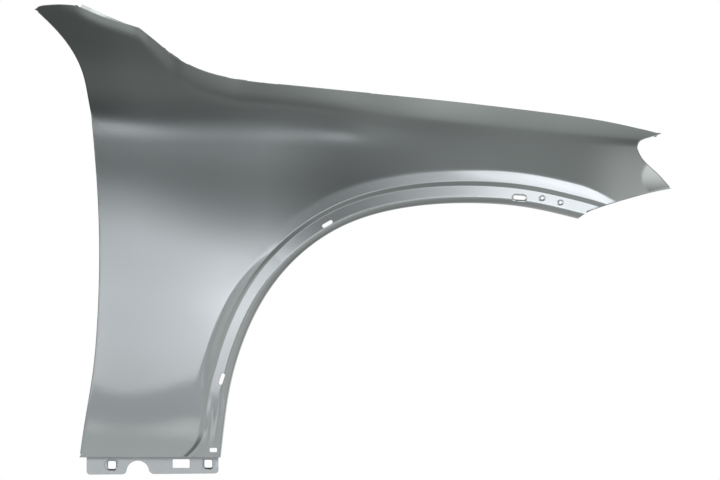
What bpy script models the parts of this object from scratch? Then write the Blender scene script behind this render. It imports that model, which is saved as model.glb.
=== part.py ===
"""Car fender: one pressed sheet panel. Millimetres in the script, metres in the file.

X runs forward along the car, Z up, Y inboard. The origin is the middle of the
mounting face of the sill tab, so the outer skin faces -Y.
"""
import math

import bmesh
import bpy
import numpy as np
from mathutils import Matrix, Vector

MM = 0.001

# Sheet and folds
SHEET = 1.0
EDGE_RADIUS = 1.6
TAB_FOLD = 2.0
DOOR_RETURN = 13.0
TAIL_RETURN = 12.0
FRONT_RETURN = 11.0
COWL_DROP = 4.0
COWL_SHELF = 7.0
HOOD_DROP = 10.0
HOOD_SHELF = 22.0

# Wheel arch, measured outward from the opening
LIP_ROLL = 9.5
LIP_RADIUS = 10.2
LIP_RETURN = 9.0
RECESS_DEPTH = 5.0
STEP_INNER = 28.0
STEP_WIDTH = 9.0
STEP_OUTER = STEP_INNER + STEP_WIDTH
SOFT_STEP = 10.0
BAND_WIDTH = 18.0
BAND_OUTER = STEP_OUTER + BAND_WIDTH
BAND_BEND = 3.0
BAND_ZONE = BAND_OUTER + 11.0
FLAT_TILT = 7.5
BAND_TILT = 3.5
RECESS_TILT = 6.0
ARCH_RADIUS = 415.0
SPLIT_TOP = 100.0
SPLIT_GAP = 12.5
SPLIT_FLARE = 27.0

# Sill tab
TAB_LEFT = -120.0
TAB_RIGHT = 95.0
TAB_TOP = 11.1
TAB_BOTTOM = -15.9
TAB_RISE = 0.009
TAB_CORNER = 6.0
NOTCH_X = -36.5
NOTCH_RADIUS = 18.4
NOTCH_TOP = 6.2
NOTCH_FLARE = 7.0
SQUARE_X = 78.5
SQUARE_SIDE = 12.6
SQUARE_TILT = 1.0
SQUARE_CORNER = 2.5
TAB_SLOT = (34.2, 1.2, 27.4, 14.0)

# Holes: centre x, centre z, length, width, slope in degrees
BAND_SLOTS = (
    (100.7, 139.0, 18.8, 5.6, 72.0),
    (272.5, 391.7, 18.8, 5.9, 30.0),
    (585.7, 434.7, 20.0, 6.5, -4.0),
)
BAND_ROUNDS = ((622.8, 434.0, 4.6), (652.7, 426.7, 4.6))
LEG_HOLE = (86.7, 23.3, 11.8, 6.7)
HOLE_CORNER = 1.5
BOLT_HOLE = 9.0
PADS = (230.0, 440.0, 650.0)

# Outline of the skin in side view
BOTTOM_Z = 11.1
ARCH = (
    (98.3, 11.1), (104.5, 66.0), (113.3, 124.0), (136.0, 202.5), (175.5, 281.0),
    (232.5, 346.0), (306.0, 392.7), (384.5, 416.2), (501.5, 426.1), (599.5, 418.7),
    (681.0, 400.5),
)
DOOR_LOW = (
    (-131.5, 11.1), (-122.6, 72.2), (-110.0, 150.4), (-103.0, 228.7), (-99.5, 333.0),
    (-102.2, 437.3), (-112.6, 570.0),
)
DOOR_HIGH = (
    (-112.6, 570.0), (-117.2, 593.8), (-125.2, 632.9), (-142.5, 672.0),
    (-173.0, 711.2), (-205.0, 742.0),
)
TAIL = ((-205.0, 742.0), (-199.0, 746.0), (-183.0, 749.2), (-160.0, 750.3), (-135.6, 748.7))
COWL = ((-135.6, 748.7), (-89.0, 729.1), (-61.5, 721.0), (-34.1, 712.5))
SWEEP = (
    (-34.1, 712.5), (-8.5, 691.6), (12.7, 673.7), (45.3, 652.5), (91.0, 635.7),
    (167.0, 623.2),
)
HOOD = ((167.0, 623.2), (306.1, 609.3), (462.6, 594.0), (619.1, 575.7), (756.0, 553.9), (816.8, 538.7))
LAMP_HIGH = ((777.9, 515.6), (780.5, 524.0), (795.1, 532.0), (816.8, 538.7))
LAMP_LOW = ((777.9, 515.6), (783.7, 502.5), (808.8, 476.4), (833.1, 449.5))
BUMPER = ((681.0, 400.5), (697.3, 410.9), (716.9, 418.6), (756.0, 430.8), (814.7, 446.0), (833.1, 449.5))
CREASE = (
    (-112.6, 570.0), (-82.0, 568.0), (-17.0, 563.0), (81.0, 560.0), (195.0, 557.0), (260.0, 553.5),
    (342.0, 546.0), (440.0, 537.0), (560.0, 528.0), (777.9, 515.6),
)

# Plan of the crease line, and upward tilt of the skin in degrees by height from it
PLAN = (
    (-204.0, 13.0), (-131.0, 5.0), (-50.0, -2.5), (50.0, -8.5), (150.0, -12.0), (250.0, -13.5),
    (350.0, -14.0), (450.0, -12.5), (550.0, -7.0), (650.0, 7.0), (750.0, 32.0), (840.0, 68.0),
)
REAR_BELOW = (
    (-560.0, -6.0), (-437.0, -3.5), (-311.0, 0.5), (-250.0, 3.5), (-190.0, 6.2), (-140.0, 8.2),
    (-110.0, 9.3), (-75.0, 10.3), (-30.0, 10.2), (0.0, 13.0),
)
LEG_BELOW = (
    (-560.0, -6.0), (-437.0, -3.5), (-350.0, -0.8), (-290.0, 2.2), (-245.0, 5.4), (-197.0, 8.0),
    (-160.0, 9.5), (-130.0, 10.5), (-90.0, 11.3), (-30.0, 10.6), (0.0, 13.0),
)
ARCH_BELOW = (
    (-560.0, -6.0), (-400.0, -2.0), (-311.0, 3.0), (-200.0, 9.5), (-150.0, 12.5), (-110.0, 14.5),
    (-60.0, 17.0), (-25.0, 18.5), (0.0, 20.0),
)
REAR_ABOVE = ((0.0, 13.0), (14.0, 18.5), (30.0, 20.5), (64.0, 23.3), (100.0, 25.5), (135.0, 26.7), (195.0, 28.0))
ARCH_ABOVE = ((0.0, 20.0), (0.35, 28.0), (0.7, 38.0), (0.88, 47.0), (1.0, 55.0), (1.3, 55.0))
HOOD_RISE = ((-204.0, 74.0), (166.0, 74.0), (342.0, 68.0), (505.0, 58.0), (650.0, 45.0), (778.0, 34.0), (840.0, 28.0))
# How many degrees steeper the skin stands just under the crease line, and flatter at its upper edge
RIDGE = (
    (-131.0, 3.4), (-60.0, 3.0), (0.0, 2.2), (60.0, 1.6), (120.0, 1.5), (200.0, 2.2), (260.0, 4.0),
    (325.0, 6.0), (385.0, 2.0), (450.0, 0.0), (600.0, 0.0), (840.0, 0.0),
)
ROLL_WIDTH = ((-205.0, 20.0), (-30.0, 26.0), (20.0, 56.0), (120.0, 52.0), (350.0, 40.0), (840.0, 30.0))
ROLL_TILT = 12.0
LEG_START = -110.0
BLEND_START = 165.0
BLEND_END = 450.0

# Columns of the net along the arch, and rows across it
LEG_STEPS = (0, 8, 16, 24, 32, 40, 52, 66, 82, 100, 118, 137, 156, 175, 194, 213, 232, 251, 270)
SWEEP_END = 385.0
HOOD_END = 800.0
TAIL_CELLS = 4
COWL_CELLS = 4
SWEEP_CELLS = 8
HOOD_CELLS = 20
FRONT_CELLS = 5
SKIN_ROWS = 10
TOP_ROWS = 8
TAB_ROWS = 2


def smooth(value, low, high):
    t = np.clip((np.asarray(value, float) - low) / (high - low), 0.0, 1.0)
    return t * t * (3.0 - 2.0 * t)


class Curve:
    """Natural cubic spline through points, measured by chord length."""

    def __init__(self, points):
        self.p = np.array(points, float)
        self.s = np.r_[0.0, np.cumsum(np.linalg.norm(np.diff(self.p, axis=0), axis=1))]
        n = len(self.p)
        h = np.diff(self.s)
        a = np.eye(n)
        b = np.zeros_like(self.p)
        for i in range(1, n - 1):
            a[i, i - 1:i + 2] = h[i - 1], 2.0 * (h[i - 1] + h[i]), h[i]
            b[i] = 6.0 * ((self.p[i + 1] - self.p[i]) / h[i] - (self.p[i] - self.p[i - 1]) / h[i - 1])
        self.m = np.linalg.solve(a, b)
        self.length = self.s[-1]

    def at(self, s):
        s = np.atleast_1d(np.asarray(s, float))
        i = np.clip(np.searchsorted(self.s, s) - 1, 0, len(self.s) - 2)
        h = (self.s[i + 1] - self.s[i])[:, None]
        t = (s - self.s[i])[:, None]
        u = h - t
        p0, p1, m0, m1 = self.p[i], self.p[i + 1], self.m[i], self.m[i + 1]
        return (m0 * u ** 3 + m1 * t ** 3) / (6.0 * h) + (p0 / h - m0 * h / 6.0) * u + (p1 / h - m1 * h / 6.0) * t

    def fractions(self, f):
        fine = self.at(np.linspace(0.0, self.length, 3000))
        run = np.r_[0.0, np.cumsum(np.linalg.norm(np.diff(fine, axis=0), axis=1))]
        goal = np.asarray(f, float) * run[-1]
        return np.column_stack([np.interp(goal, run, fine[:, k]) for k in range(fine.shape[1])])


def height_table(curve):
    fine = curve.at(np.linspace(0.0, curve.length, 3000))
    return fine[:, 0], fine[:, 1]


def rise_table(points, count=6000):
    """Inboard run against height for a skin whose tilt goes through the points."""
    heights = np.linspace(points[0][0], points[-1][0], count)
    curve = Curve(np.array(points, float))
    fine = curve.at(np.linspace(0.0, curve.length, 3000))
    slope = np.tan(np.radians(np.interp(heights, fine[:, 0], fine[:, 1])))
    run = np.r_[0.0, np.cumsum((slope[1:] + slope[:-1]) * 0.5 * np.diff(heights))]
    return heights, run - np.interp(0.0, heights, run)


CREASE_X, CREASE_Z = height_table(Curve(CREASE))
PLAN_X, PLAN_Y = height_table(Curve(PLAN))
RISE_X, RISE_Z = height_table(Curve(HOOD_RISE))
RIDGE_X, RIDGE_TILT = height_table(Curve(RIDGE))
UPPER_X, UPPER_Z = (np.concatenate(part) for part in zip(*(height_table(Curve(edge)) for edge in (TAIL, COWL, SWEEP, HOOD))))
REAR_LOW = rise_table(REAR_BELOW)
LEG_LOW = rise_table(LEG_BELOW)
REAR_HIGH = rise_table(REAR_ABOVE)
ARCH_LOW = rise_table(ARCH_BELOW)
ARCH_HIGH = rise_table(ARCH_ABOVE)
RIDGE_W = np.linspace(-60.0, 20.0, 801)
RIDGE_RUN = np.cumsum(smooth(RIDGE_W, -42.0, -16.0) * (1.0 - smooth(RIDGE_W, -12.0, 4.0))) * (RIDGE_W[1] - RIDGE_W[0])
ROLL_T = np.linspace(-0.2, 1.0, 1201)
ROLL_RUN = np.cumsum((1.0 - smooth(ROLL_T, 0.3, 1.0))[::-1])[::-1] * (ROLL_T[1] - ROLL_T[0])
ARCH_CURVE = Curve(ARCH)
BUMPER_CURVE = Curve(BUMPER)


def beyond(table, value):
    """Table look-up that runs on straight past its ends."""
    x, y = table
    value = np.asarray(value, float)
    end = (y[-1] - y[-2]) / (x[-1] - x[-2])
    start = (y[1] - y[0]) / (x[1] - x[0])
    out = np.interp(value, x, y)
    out = np.where(value > x[-1], y[-1] + (value - x[-1]) * end, out)
    return np.where(value < x[0], y[0] + (value - x[0]) * start, out)


def skin_depth(x, z):
    """Inboard position of the main skin at a point of the side view."""
    x = np.asarray(x, float)
    z = np.asarray(z, float)
    w = z - beyond((CREASE_X, CREASE_Z), x)
    rise = beyond((RISE_X, RISE_Z), x)
    forward = smooth(x, LEG_START, BLEND_START)
    rear = (1.0 - forward) * beyond(REAR_LOW, w) + forward * beyond(LEG_LOW, w)
    rear = np.where(w < 0.0, rear, beyond(REAR_HIGH, w))
    arch = np.where(w < 0.0, beyond(ARCH_LOW, w), rise * beyond(ARCH_HIGH, w / rise))
    q = smooth(x, BLEND_START, BLEND_END)
    ridge = np.tan(np.radians(np.interp(x, RIDGE_X, RIDGE_TILT))) * np.interp(w, RIDGE_W, RIDGE_RUN)
    width = np.interp(x, *np.transpose(ROLL_WIDTH))
    t = np.clip((np.interp(x, UPPER_X, UPPER_Z) - z) / width, -0.2, 1.0)
    roll = np.tan(np.radians(ROLL_TILT)) * width * (1.0 - q) * np.interp(t, ROLL_T, ROLL_RUN)
    return beyond((PLAN_X, PLAN_Y), x) + (1.0 - q) * rear + q * arch - ridge + roll


def skin_slope(x, z, step=0.5):
    sx = (skin_depth(x + step, z) - skin_depth(x - step, z)) / (2.0 * step)
    sz = (skin_depth(x, z + step) - skin_depth(x, z - step)) / (2.0 * step)
    return sx, sz


# Arch frame: points and outward normals, running on as an arc past the front end
ARCH_END = ARCH_CURVE.at(ARCH_CURVE.length)[0]
END_DIR = ARCH_END - ARCH_CURVE.at(ARCH_CURVE.length - 0.5)[0]
END_DIR = END_DIR / np.linalg.norm(END_DIR)
END_NORMAL = np.array([-END_DIR[1], END_DIR[0]])
END_CENTRE = ARCH_END - ARCH_RADIUS * END_NORMAL


def along_arch(s, start, end):
    """Smooth 0 to 1 between two shares of the arch length."""
    return smooth(np.asarray(s, float) / ARCH_CURVE.length, start, end)


def arch_frame(s):
    s = np.atleast_1d(np.asarray(s, float))
    inside = np.clip(s, 0.0, ARCH_CURVE.length)
    point = ARCH_CURVE.at(inside)
    step = ARCH_CURVE.at(np.clip(inside + 0.5, 0, ARCH_CURVE.length)) - ARCH_CURVE.at(np.clip(inside - 0.5, 0, None))
    tangent = step / np.linalg.norm(step, axis=1)[:, None]
    normal = np.column_stack([-tangent[:, 1], tangent[:, 0]])
    level = along_arch(s, 0.0, 0.072)[:, None]
    normal = level * normal + (1.0 - level) * np.array([-1.0, 0.0])
    normal /= np.linalg.norm(normal, axis=1)[:, None]
    turn = np.clip(s - ARCH_CURVE.length, 0.0, None) / ARCH_RADIUS
    cos, sin = np.cos(turn), np.sin(turn)
    turned = np.column_stack([END_NORMAL[0] * cos + END_NORMAL[1] * sin, -END_NORMAL[0] * sin + END_NORMAL[1] * cos])
    past = (s > ARCH_CURVE.length)[:, None]
    point = np.where(past, END_CENTRE + ARCH_RADIUS * turned, point)
    normal = np.where(past, turned, normal)
    return point, normal


def bumper_reach():
    """Extra arch length needed at each distance from the arch to meet the bumper edge."""
    fine = BUMPER_CURVE.at(np.linspace(0.0, BUMPER_CURVE.length, 3000)) - END_CENTRE
    away = np.linalg.norm(fine, axis=1) - ARCH_RADIUS
    turn = np.arctan2(fine[:, 0], fine[:, 1]) - math.atan2(END_NORMAL[0], END_NORMAL[1])
    return away, turn * ARCH_RADIUS


REACH = bumper_reach()


def band_point(s0, d):
    """Side-view point, arch position and normal for a column of the net and a distance."""
    d = np.asarray(d, float) + 0.0 * s0
    extra = np.interp(np.clip(d, 0.0, None), REACH[0], REACH[1])
    s = s0 + along_arch(s0, 0.72, 1.0) * extra
    point, normal = arch_frame(s)
    return point + normal * d[:, None], s, normal


def ramp(t, ease=0.45, end=0.12):
    """Rise from 0 to 1 with rounded ends and a straight middle."""
    t = np.clip(t, 0.0, 1.0)
    k = 1.0 / (1.0 - 0.5 * (ease + end))
    low = 0.5 * k * t * t / ease
    high = 1.0 - 0.5 * k * (1.0 - t) ** 2 / end
    mid = k * (t - 0.5 * ease)
    return np.where(t < ease, low, np.where(t > 1.0 - end, high, mid))


def step_shift(s):
    """How far the two halves of the step move apart low down on the leg."""
    share = s / SPLIT_TOP
    outer = SPLIT_FLARE * np.interp(share, [0.0, 0.18, 0.3, 0.4], [1.0, 0.37, 0.055, 0.0])
    gap = SPLIT_GAP * (1.0 - smooth(share, 0.45, 1.0))
    return outer, outer - gap * np.interp(share, [0.0, 0.2, 0.3], [1.3, 1.1, 1.0])


def band_depth(s, d, point, normal):
    """Inboard position inside the arch zone: flat band, step, recess."""
    inner = BAND_OUTER - BAND_BEND
    gap = BAND_OUTER + BAND_BEND - np.asarray(d, float)
    foot = point + normal * gap[:, None]
    y = skin_depth(foot[:, 0], foot[:, 1])
    sx, sz = skin_slope(foot[:, 0], foot[:, 1])
    own = -(sx * normal[:, 0] + sz * normal[:, 1])
    crisp = along_arch(s, 0.34, 0.75)
    front = along_arch(s, 0.72, 0.87)
    first, second = (
        own * (1.0 - crisp) - np.tan(np.radians(FLAT_TILT + (tilt - FLAT_TILT) * front)) * crisp
        for tilt in (BAND_TILT, RECESS_TILT)
    )
    turn = np.clip(gap, 0.0, 2.0 * BAND_BEND)
    y = y + own * turn + (first - own) * turn ** 2 / (4.0 * BAND_BEND)
    past = gap - 2.0 * BAND_BEND
    middle = inner - 0.5 * (STEP_OUTER + STEP_INNER)
    y = y + first * np.clip(past, 0.0, middle) + second * np.clip(past - middle, 0.0, None)
    near, far = step_shift(s)
    soft = along_arch(s, 0.07, 0.18) * (1.0 - along_arch(s, 0.3, 0.42))
    wide = STEP_WIDTH + SOFT_STEP * soft
    y = y + 0.5 * RECESS_DEPTH * ramp((STEP_INNER + wide + near - d) / wide, 0.45 + 0.3 * soft)
    y = y + 0.5 * RECESS_DEPTH * ramp((STEP_INNER + wide + far - d) / wide, 0.45 + 0.3 * soft)
    return np.where(gap > 0.0, y, skin_depth(point[:, 0], point[:, 1]))


def columns():
    """Arch length at each column of the net and the matching points on the outer edges."""
    leg = np.array(LEG_STEPS, float)
    sweep_cells = TAIL_CELLS + COWL_CELLS + SWEEP_CELLS
    tail = leg[-1] + (SWEEP_END - leg[-1]) * np.arange(1, sweep_cells + 1) / sweep_cells
    hood = SWEEP_END + (HOOD_END - SWEEP_END) * np.arange(1, HOOD_CELLS + 1) / HOOD_CELLS
    front = HOOD_END + (ARCH_CURVE.length - HOOD_END) * np.arange(1, FRONT_CELLS + 1) / FRONT_CELLS
    s = np.r_[leg, tail, hood, front]
    door = Curve(DOOR_LOW).fractions(leg / leg[-1])
    start, middle, end = CREASE[0][0], HOOD[0][0], CREASE[-1][0]
    tail_x = start + (middle - start) * np.arange(1, sweep_cells + 1) / sweep_cells
    hood_x = middle + (end - middle) * np.arange(1, HOOD_CELLS + 1) / HOOD_CELLS
    crease_x = np.r_[tail_x, hood_x]
    crease = np.column_stack([crease_x, np.interp(crease_x, CREASE_X, CREASE_Z)])
    lamp = Curve(LAMP_LOW).fractions(np.arange(1, FRONT_CELLS + 1) / FRONT_CELLS)
    corner = len(leg) - 1
    return s, np.vstack([door, crease, lamp]), corner, corner + sweep_cells + HOOD_CELLS


def coons(low, high, left, right):
    """Net between four edges: low and high run along, left and right run across."""
    u = np.r_[0.0, np.cumsum(np.linalg.norm(np.diff(low, axis=0), axis=1))]
    u = (u / u[-1])[:, None, None]
    v = np.r_[0.0, np.cumsum(np.linalg.norm(np.diff(left, axis=0), axis=1))]
    v = (v / v[-1])[None, :, None]
    net = (1 - v) * low[:, None] + v * high[:, None] + (1 - u) * left[None] + u * right[None]
    corner = (1 - u) * (1 - v) * low[0] + u * (1 - v) * low[-1] + (1 - u) * v * high[0] + u * v * high[-1]
    return np.swapaxes(net - corner, 0, 1)


def stack(xz, y):
    return np.dstack([xz[..., 0], y, xz[..., 1]])


def band_rows(s):
    """Distances from the arch of the rows across it, which follow the step down the leg."""
    near, far = step_shift(s)
    split = (near - far) / SPLIT_GAP
    high = STEP_OUTER + near + 0.8
    low = STEP_INNER + far - 0.8
    share = (BAND_ZONE - high) / (BAND_ZONE - STEP_OUTER - 0.8)
    rows = [BAND_ZONE + 0.0 * s]
    for base in (BAND_OUTER + BAND_BEND, BAND_OUTER, BAND_OUTER - BAND_BEND, STEP_OUTER + 0.45 * BAND_WIDTH):
        rows.append(high + (base - STEP_OUTER - 0.8) * share)
    rows += [high, high - 2.0]
    rows += [STEP_OUTER - 4.0 + near - 5.0 * split, STEP_OUTER - 5.0 + near - 7.5 * split]
    rows += [low + 2.0, low, 0.5 * (low + LIP_ROLL), LIP_ROLL + 0.0 * s]
    return rows


def normals(net):
    """Outer normals of a net of places."""
    across = np.gradient(net, axis=0)
    along = np.gradient(net, axis=1)
    n = np.cross(across, along)
    n /= np.linalg.norm(n, axis=2)[..., None]
    return np.where(n[..., 1:2] > 0.0, -n, n)


def patch(bm, net):
    """Grid laid over a net of places, rows by columns."""
    rows, columns = net.shape[:2]
    made = bmesh.ops.create_grid(bm, x_segments=columns - 1, y_segments=rows - 1, size=1.0)["verts"]
    for v in made:
        i = round((v.co.y + 1.0) * 0.5 * (rows - 1))
        j = round((v.co.x + 1.0) * 0.5 * (columns - 1))
        v.co = Vector(net[i, j]) * MM
    return made


def edge_frame(p, n):
    """Direction out of the sheet, in its own plane, along a line of edge points."""
    t = np.gradient(p, axis=0)
    t /= np.linalg.norm(t, axis=1)[:, None]
    b = np.cross(n, t)
    return b / np.linalg.norm(b, axis=1)[:, None]


BEND = (45.0, 90.0)


def turned_edge(p, b, depth):
    """Rows of a plain return folded inboard."""
    way = np.array([0.0, 1.0, 0.0])
    rows = [p - EDGE_RADIUS * b]
    for angle in BEND:
        a = math.radians(angle)
        rows.append(p - EDGE_RADIUS * (1 - math.sin(a)) * b + EDGE_RADIUS * (1 - math.cos(a)) * way)
    rows.append(p + depth * way)
    return np.array(rows)


def pad_span(x, centre):
    """First and last column under a fixing pad."""
    middle = int(np.argmin(np.abs(x - centre)))
    return middle - 1, middle + 1


def hood_flange(p, b, n):
    """Rows of the drop and shelf under the hood line and the cowl edge."""
    x = p[:, 0]
    share = smooth(x, -45.0, -5.0)
    drop = COWL_DROP + (HOOD_DROP - COWL_DROP) * share
    cowl = COWL_SHELF * (1.0 - 0.8 * smooth(x, -120.0, -45.0))
    shelf = cowl + (HOOD_SHELF - cowl) * share
    shelf = shelf * (0.35 + 0.65 * smooth(HOOD[-1][0] - x, 0.0, 90.0))
    inboard = np.array([0.0, 1.0, 0.0])
    upright = b * np.array([1.0, 0.0, 1.0])
    upright /= np.linalg.norm(upright, axis=1)[:, None]
    way = (1.0 - share[:, None]) * upright + share[:, None] * inboard
    way /= np.linalg.norm(way, axis=1)[:, None]
    foot = p - drop[:, None] * n
    for centre in PADS:
        first, last = pad_span(x, centre)
        inside = slice(first, last + 1)
        t = (x[inside] - x[first]) / (x[last] - x[first])
        foot[inside] = foot[first] + t[:, None] * (foot[last] - foot[first])
        way[inside] = inboard
        shelf[inside] = shelf[first]
    rows = [p - EDGE_RADIUS * b]
    for angle in BEND:
        a = math.radians(angle)
        rows.append(p - EDGE_RADIUS * (1 - math.sin(a)) * b - EDGE_RADIUS * (1 - math.cos(a)) * n)
    rows += [foot, foot + shelf[:, None] * way]
    return np.array(rows)


def pressing():
    """Outer side of the sheet as one welded net of patches."""
    bm = bmesh.new()
    s0, edge, corner, notch = columns()
    band = []
    for d in band_rows(s0):
        point, s, normal = band_point(s0, d)
        band.append(np.column_stack([point[:, 0], band_depth(s, d, point, normal), point[:, 1]]))
    band = np.array(band)
    lip = [band[-1]]
    for angle in (25.0, 50.0, 75.0, 90.0):
        a = math.radians(angle)
        point, s, normal = band_point(s0, LIP_ROLL - LIP_RADIUS * math.sin(a))
        lip.append(np.column_stack([point[:, 0], band[-1][:, 1] + LIP_RADIUS * (1.0 - math.cos(a)), point[:, 1]]))
    lip.append(lip[-1] + np.array([0.0, LIP_RETURN, 0.0]))

    low, _, _ = band_point(s0, BAND_ZONE)
    left = np.column_stack([np.linspace(low[0, 0], DOOR_LOW[0][0], SKIN_ROWS + 1), np.full(SKIN_ROWS + 1, BOTTOM_Z)])
    fine = BUMPER_CURVE.fractions(np.linspace(0.0, 1.0, 3000))
    start = np.argmin(np.linalg.norm(fine - low[-1], axis=1)) / 2999.0
    right = BUMPER_CURVE.fractions(np.linspace(start, 1.0, SKIN_ROWS + 1))
    right[0] = low[-1]
    xz = coons(low, edge, left, right)
    skin = stack(xz, skin_depth(xz[..., 0], xz[..., 1]))
    skin[0] = band[0]

    base = edge[corner:notch + 1]
    high = np.vstack([
        Curve(TAIL).fractions(np.arange(0, TAIL_CELLS + 1) / TAIL_CELLS),
        Curve(COWL).fractions(np.arange(1, COWL_CELLS + 1) / COWL_CELLS),
        Curve(SWEEP).fractions(np.arange(1, SWEEP_CELLS + 1) / SWEEP_CELLS),
        Curve(HOOD).fractions(np.arange(1, HOOD_CELLS + 1) / HOOD_CELLS),
    ])
    side = np.linspace(0, 1, TOP_ROWS + 1)
    xz = coons(base, high, Curve(DOOR_HIGH).fractions(side), Curve(LAMP_HIGH).fractions(side))
    top = stack(xz, skin_depth(xz[..., 0], xz[..., 1]))
    top[0] = skin[-1][corner:notch + 1]

    n_skin, n_top = normals(skin), normals(top)
    inner = slice(1, -1)
    parts = []

    door = np.vstack([skin[-1][:corner + 1], top[1:, 0]])
    door_n = np.vstack([n_skin[-1][:corner + 1], n_top[1:, 0]])
    b = edge_frame(door, door_n)
    turned = turned_edge(door[inner], b[inner], DOOR_RETURN)
    parts.append(turned)
    skin[-1][1:corner + 1] = turned[0][:corner]
    top[0][0] = turned[0][corner - 1]
    top[1:-1, 0] = turned[0][corner:]

    tail = top[-1][:TAIL_CELLS + 1]
    b = edge_frame(tail, n_top[-1][:TAIL_CELLS + 1])
    turned = turned_edge(tail[inner], b[inner], TAIL_RETURN)
    parts.append(turned)
    top[-1][1:TAIL_CELLS] = turned[0]

    hood = top[-1][TAIL_CELLS:]
    b = edge_frame(hood, n_top[-1][TAIL_CELLS:])
    flange = hood_flange(hood[inner], b[inner], n_top[-1][TAIL_CELLS:][inner])
    parts.append(flange)
    top[-1][TAIL_CELLS + 1:-1] = flange[0]

    lamp = np.vstack([top[::-1][:, -1], skin[-1][notch + 1:]])
    lamp_n = np.vstack([n_top[::-1][:, -1], n_skin[-1][notch + 1:]])
    b = edge_frame(lamp, lamp_n)
    turned = turned_edge(lamp[inner], b[inner], FRONT_RETURN)
    parts.append(turned)
    top[1:-1, -1] = turned[0][:TOP_ROWS - 1][::-1]
    top[0][-1] = turned[0][TOP_ROWS - 1]
    skin[-1][notch] = turned[0][TOP_ROWS - 1]
    skin[-1][notch + 1:-1] = turned[0][TOP_ROWS:]

    bumper = skin[::-1][:, -1]
    b = edge_frame(bumper, n_skin[::-1][:, -1])
    turned = turned_edge(bumper[inner], b[inner], FRONT_RETURN)
    parts.append(turned)
    skin[1:-1, -1] = turned[0][::-1]

    base = np.vstack([band[::-1][:, 0], skin[1:, 0]])[::-1]
    r = EDGE_RADIUS
    up = base.copy()
    up[:, 2] += r
    rows = [up]
    for angle in BEND:
        a = math.radians(angle)
        rows.append(np.column_stack([base[:, 0], base[:, 1] + r * (1 - math.cos(a)), base[:, 2] + r * (1 - math.sin(a))]))
    band[:, 0] = up[::-1][:len(band)][::-1]
    skin[:, 0] = up[::-1][len(band) - 1:]
    x = TAB_LEFT + (base[:, 0] - base[0, 0]) * (TAB_RIGHT - TAB_LEFT) / (base[-1, 0] - base[0, 0])
    for angle in (0.0, 45.0, 90.0):
        a = math.radians(angle)
        y = np.full(len(x), -SHEET - TAB_FOLD * (1 - math.sin(a)))
        rows.append(np.column_stack([x, y, np.full(len(x), TAB_TOP - TAB_FOLD * (1 - math.cos(a)))]))
    for t in np.arange(1, TAB_ROWS + 1) / TAB_ROWS:
        z = TAB_TOP - TAB_FOLD + (TAB_BOTTOM + TAB_RISE * x - TAB_TOP + TAB_FOLD) * t
        rows.append(np.column_stack([x, np.full(len(x), -SHEET), z]))
    parts.append(np.array(rows))

    lip[0] = band[-1]
    for net in (band, np.array(lip), skin, top):
        patch(bm, net)
    for net in parts:
        patch(bm, net)
    bmesh.ops.remove_doubles(bm, verts=bm.verts, dist=0.00002)
    bmesh.ops.recalc_face_normals(bm, faces=bm.faces)
    middle = min(bm.faces, key=lambda f: (f.calc_center_median() - Vector((0.0, -0.03, 0.3))).length)
    if middle.normal.y > 0:
        bmesh.ops.reverse_faces(bm, faces=bm.faces)
    return bm, flange


def block(bm, cx, cz, length, width, y=(-90.0, 10.0)):
    """Plain box through the side of the car."""
    made = bmesh.ops.create_cube(bm, size=1.0)["verts"]
    place = Matrix.Translation(Vector((cx, 0.5 * (y[0] + y[1]), cz)) * MM)
    bmesh.ops.scale(bm, vec=Vector((length, y[1] - y[0], width)) * MM, verts=made)
    bmesh.ops.transform(bm, matrix=place, verts=made)
    return made


def drum(bm, cx, cz, radius, y=(-90.0, 10.0), count=32):
    """Round bar through the side of the car."""
    turn = Matrix.Rotation(math.radians(90.0), 4, "X")
    place = Matrix.Translation(Vector((cx, 0.5 * (y[0] + y[1]), cz)) * MM) @ turn
    bmesh.ops.create_cone(
        bm, cap_ends=True, segments=count, radius1=radius * MM, radius2=radius * MM, depth=(y[1] - y[0]) * MM, matrix=place,
    )


def cutter(bm, cx, cz, length, width, radius, slope=0.0, y=(-90.0, 10.0), steps=4):
    """Block with rounded upright edges, for a hole through the side of the car."""
    made = block(bm, 0.0, 0.0, length, width, y)
    upright = {e for v in made for e in v.link_edges if abs(e.verts[0].co.y - e.verts[1].co.y) > 0.5 * (y[1] - y[0]) * MM}
    shaped = bmesh.ops.bevel(
        bm, geom=list(upright), offset=radius * 0.999 * MM, offset_type="OFFSET", affect="EDGES",
        segments=steps, profile=0.5, material=-1, clamp_overlap=False,
    )
    whole = list({v for v in made if v.is_valid} | {v for f in shaped["faces"] for v in f.verts})
    place = Matrix.Translation(Vector((cx, 0.0, cz)) * MM) @ Matrix.Rotation(-math.radians(slope), 4, "Y")
    bmesh.ops.transform(bm, matrix=place, verts=whole)


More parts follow.
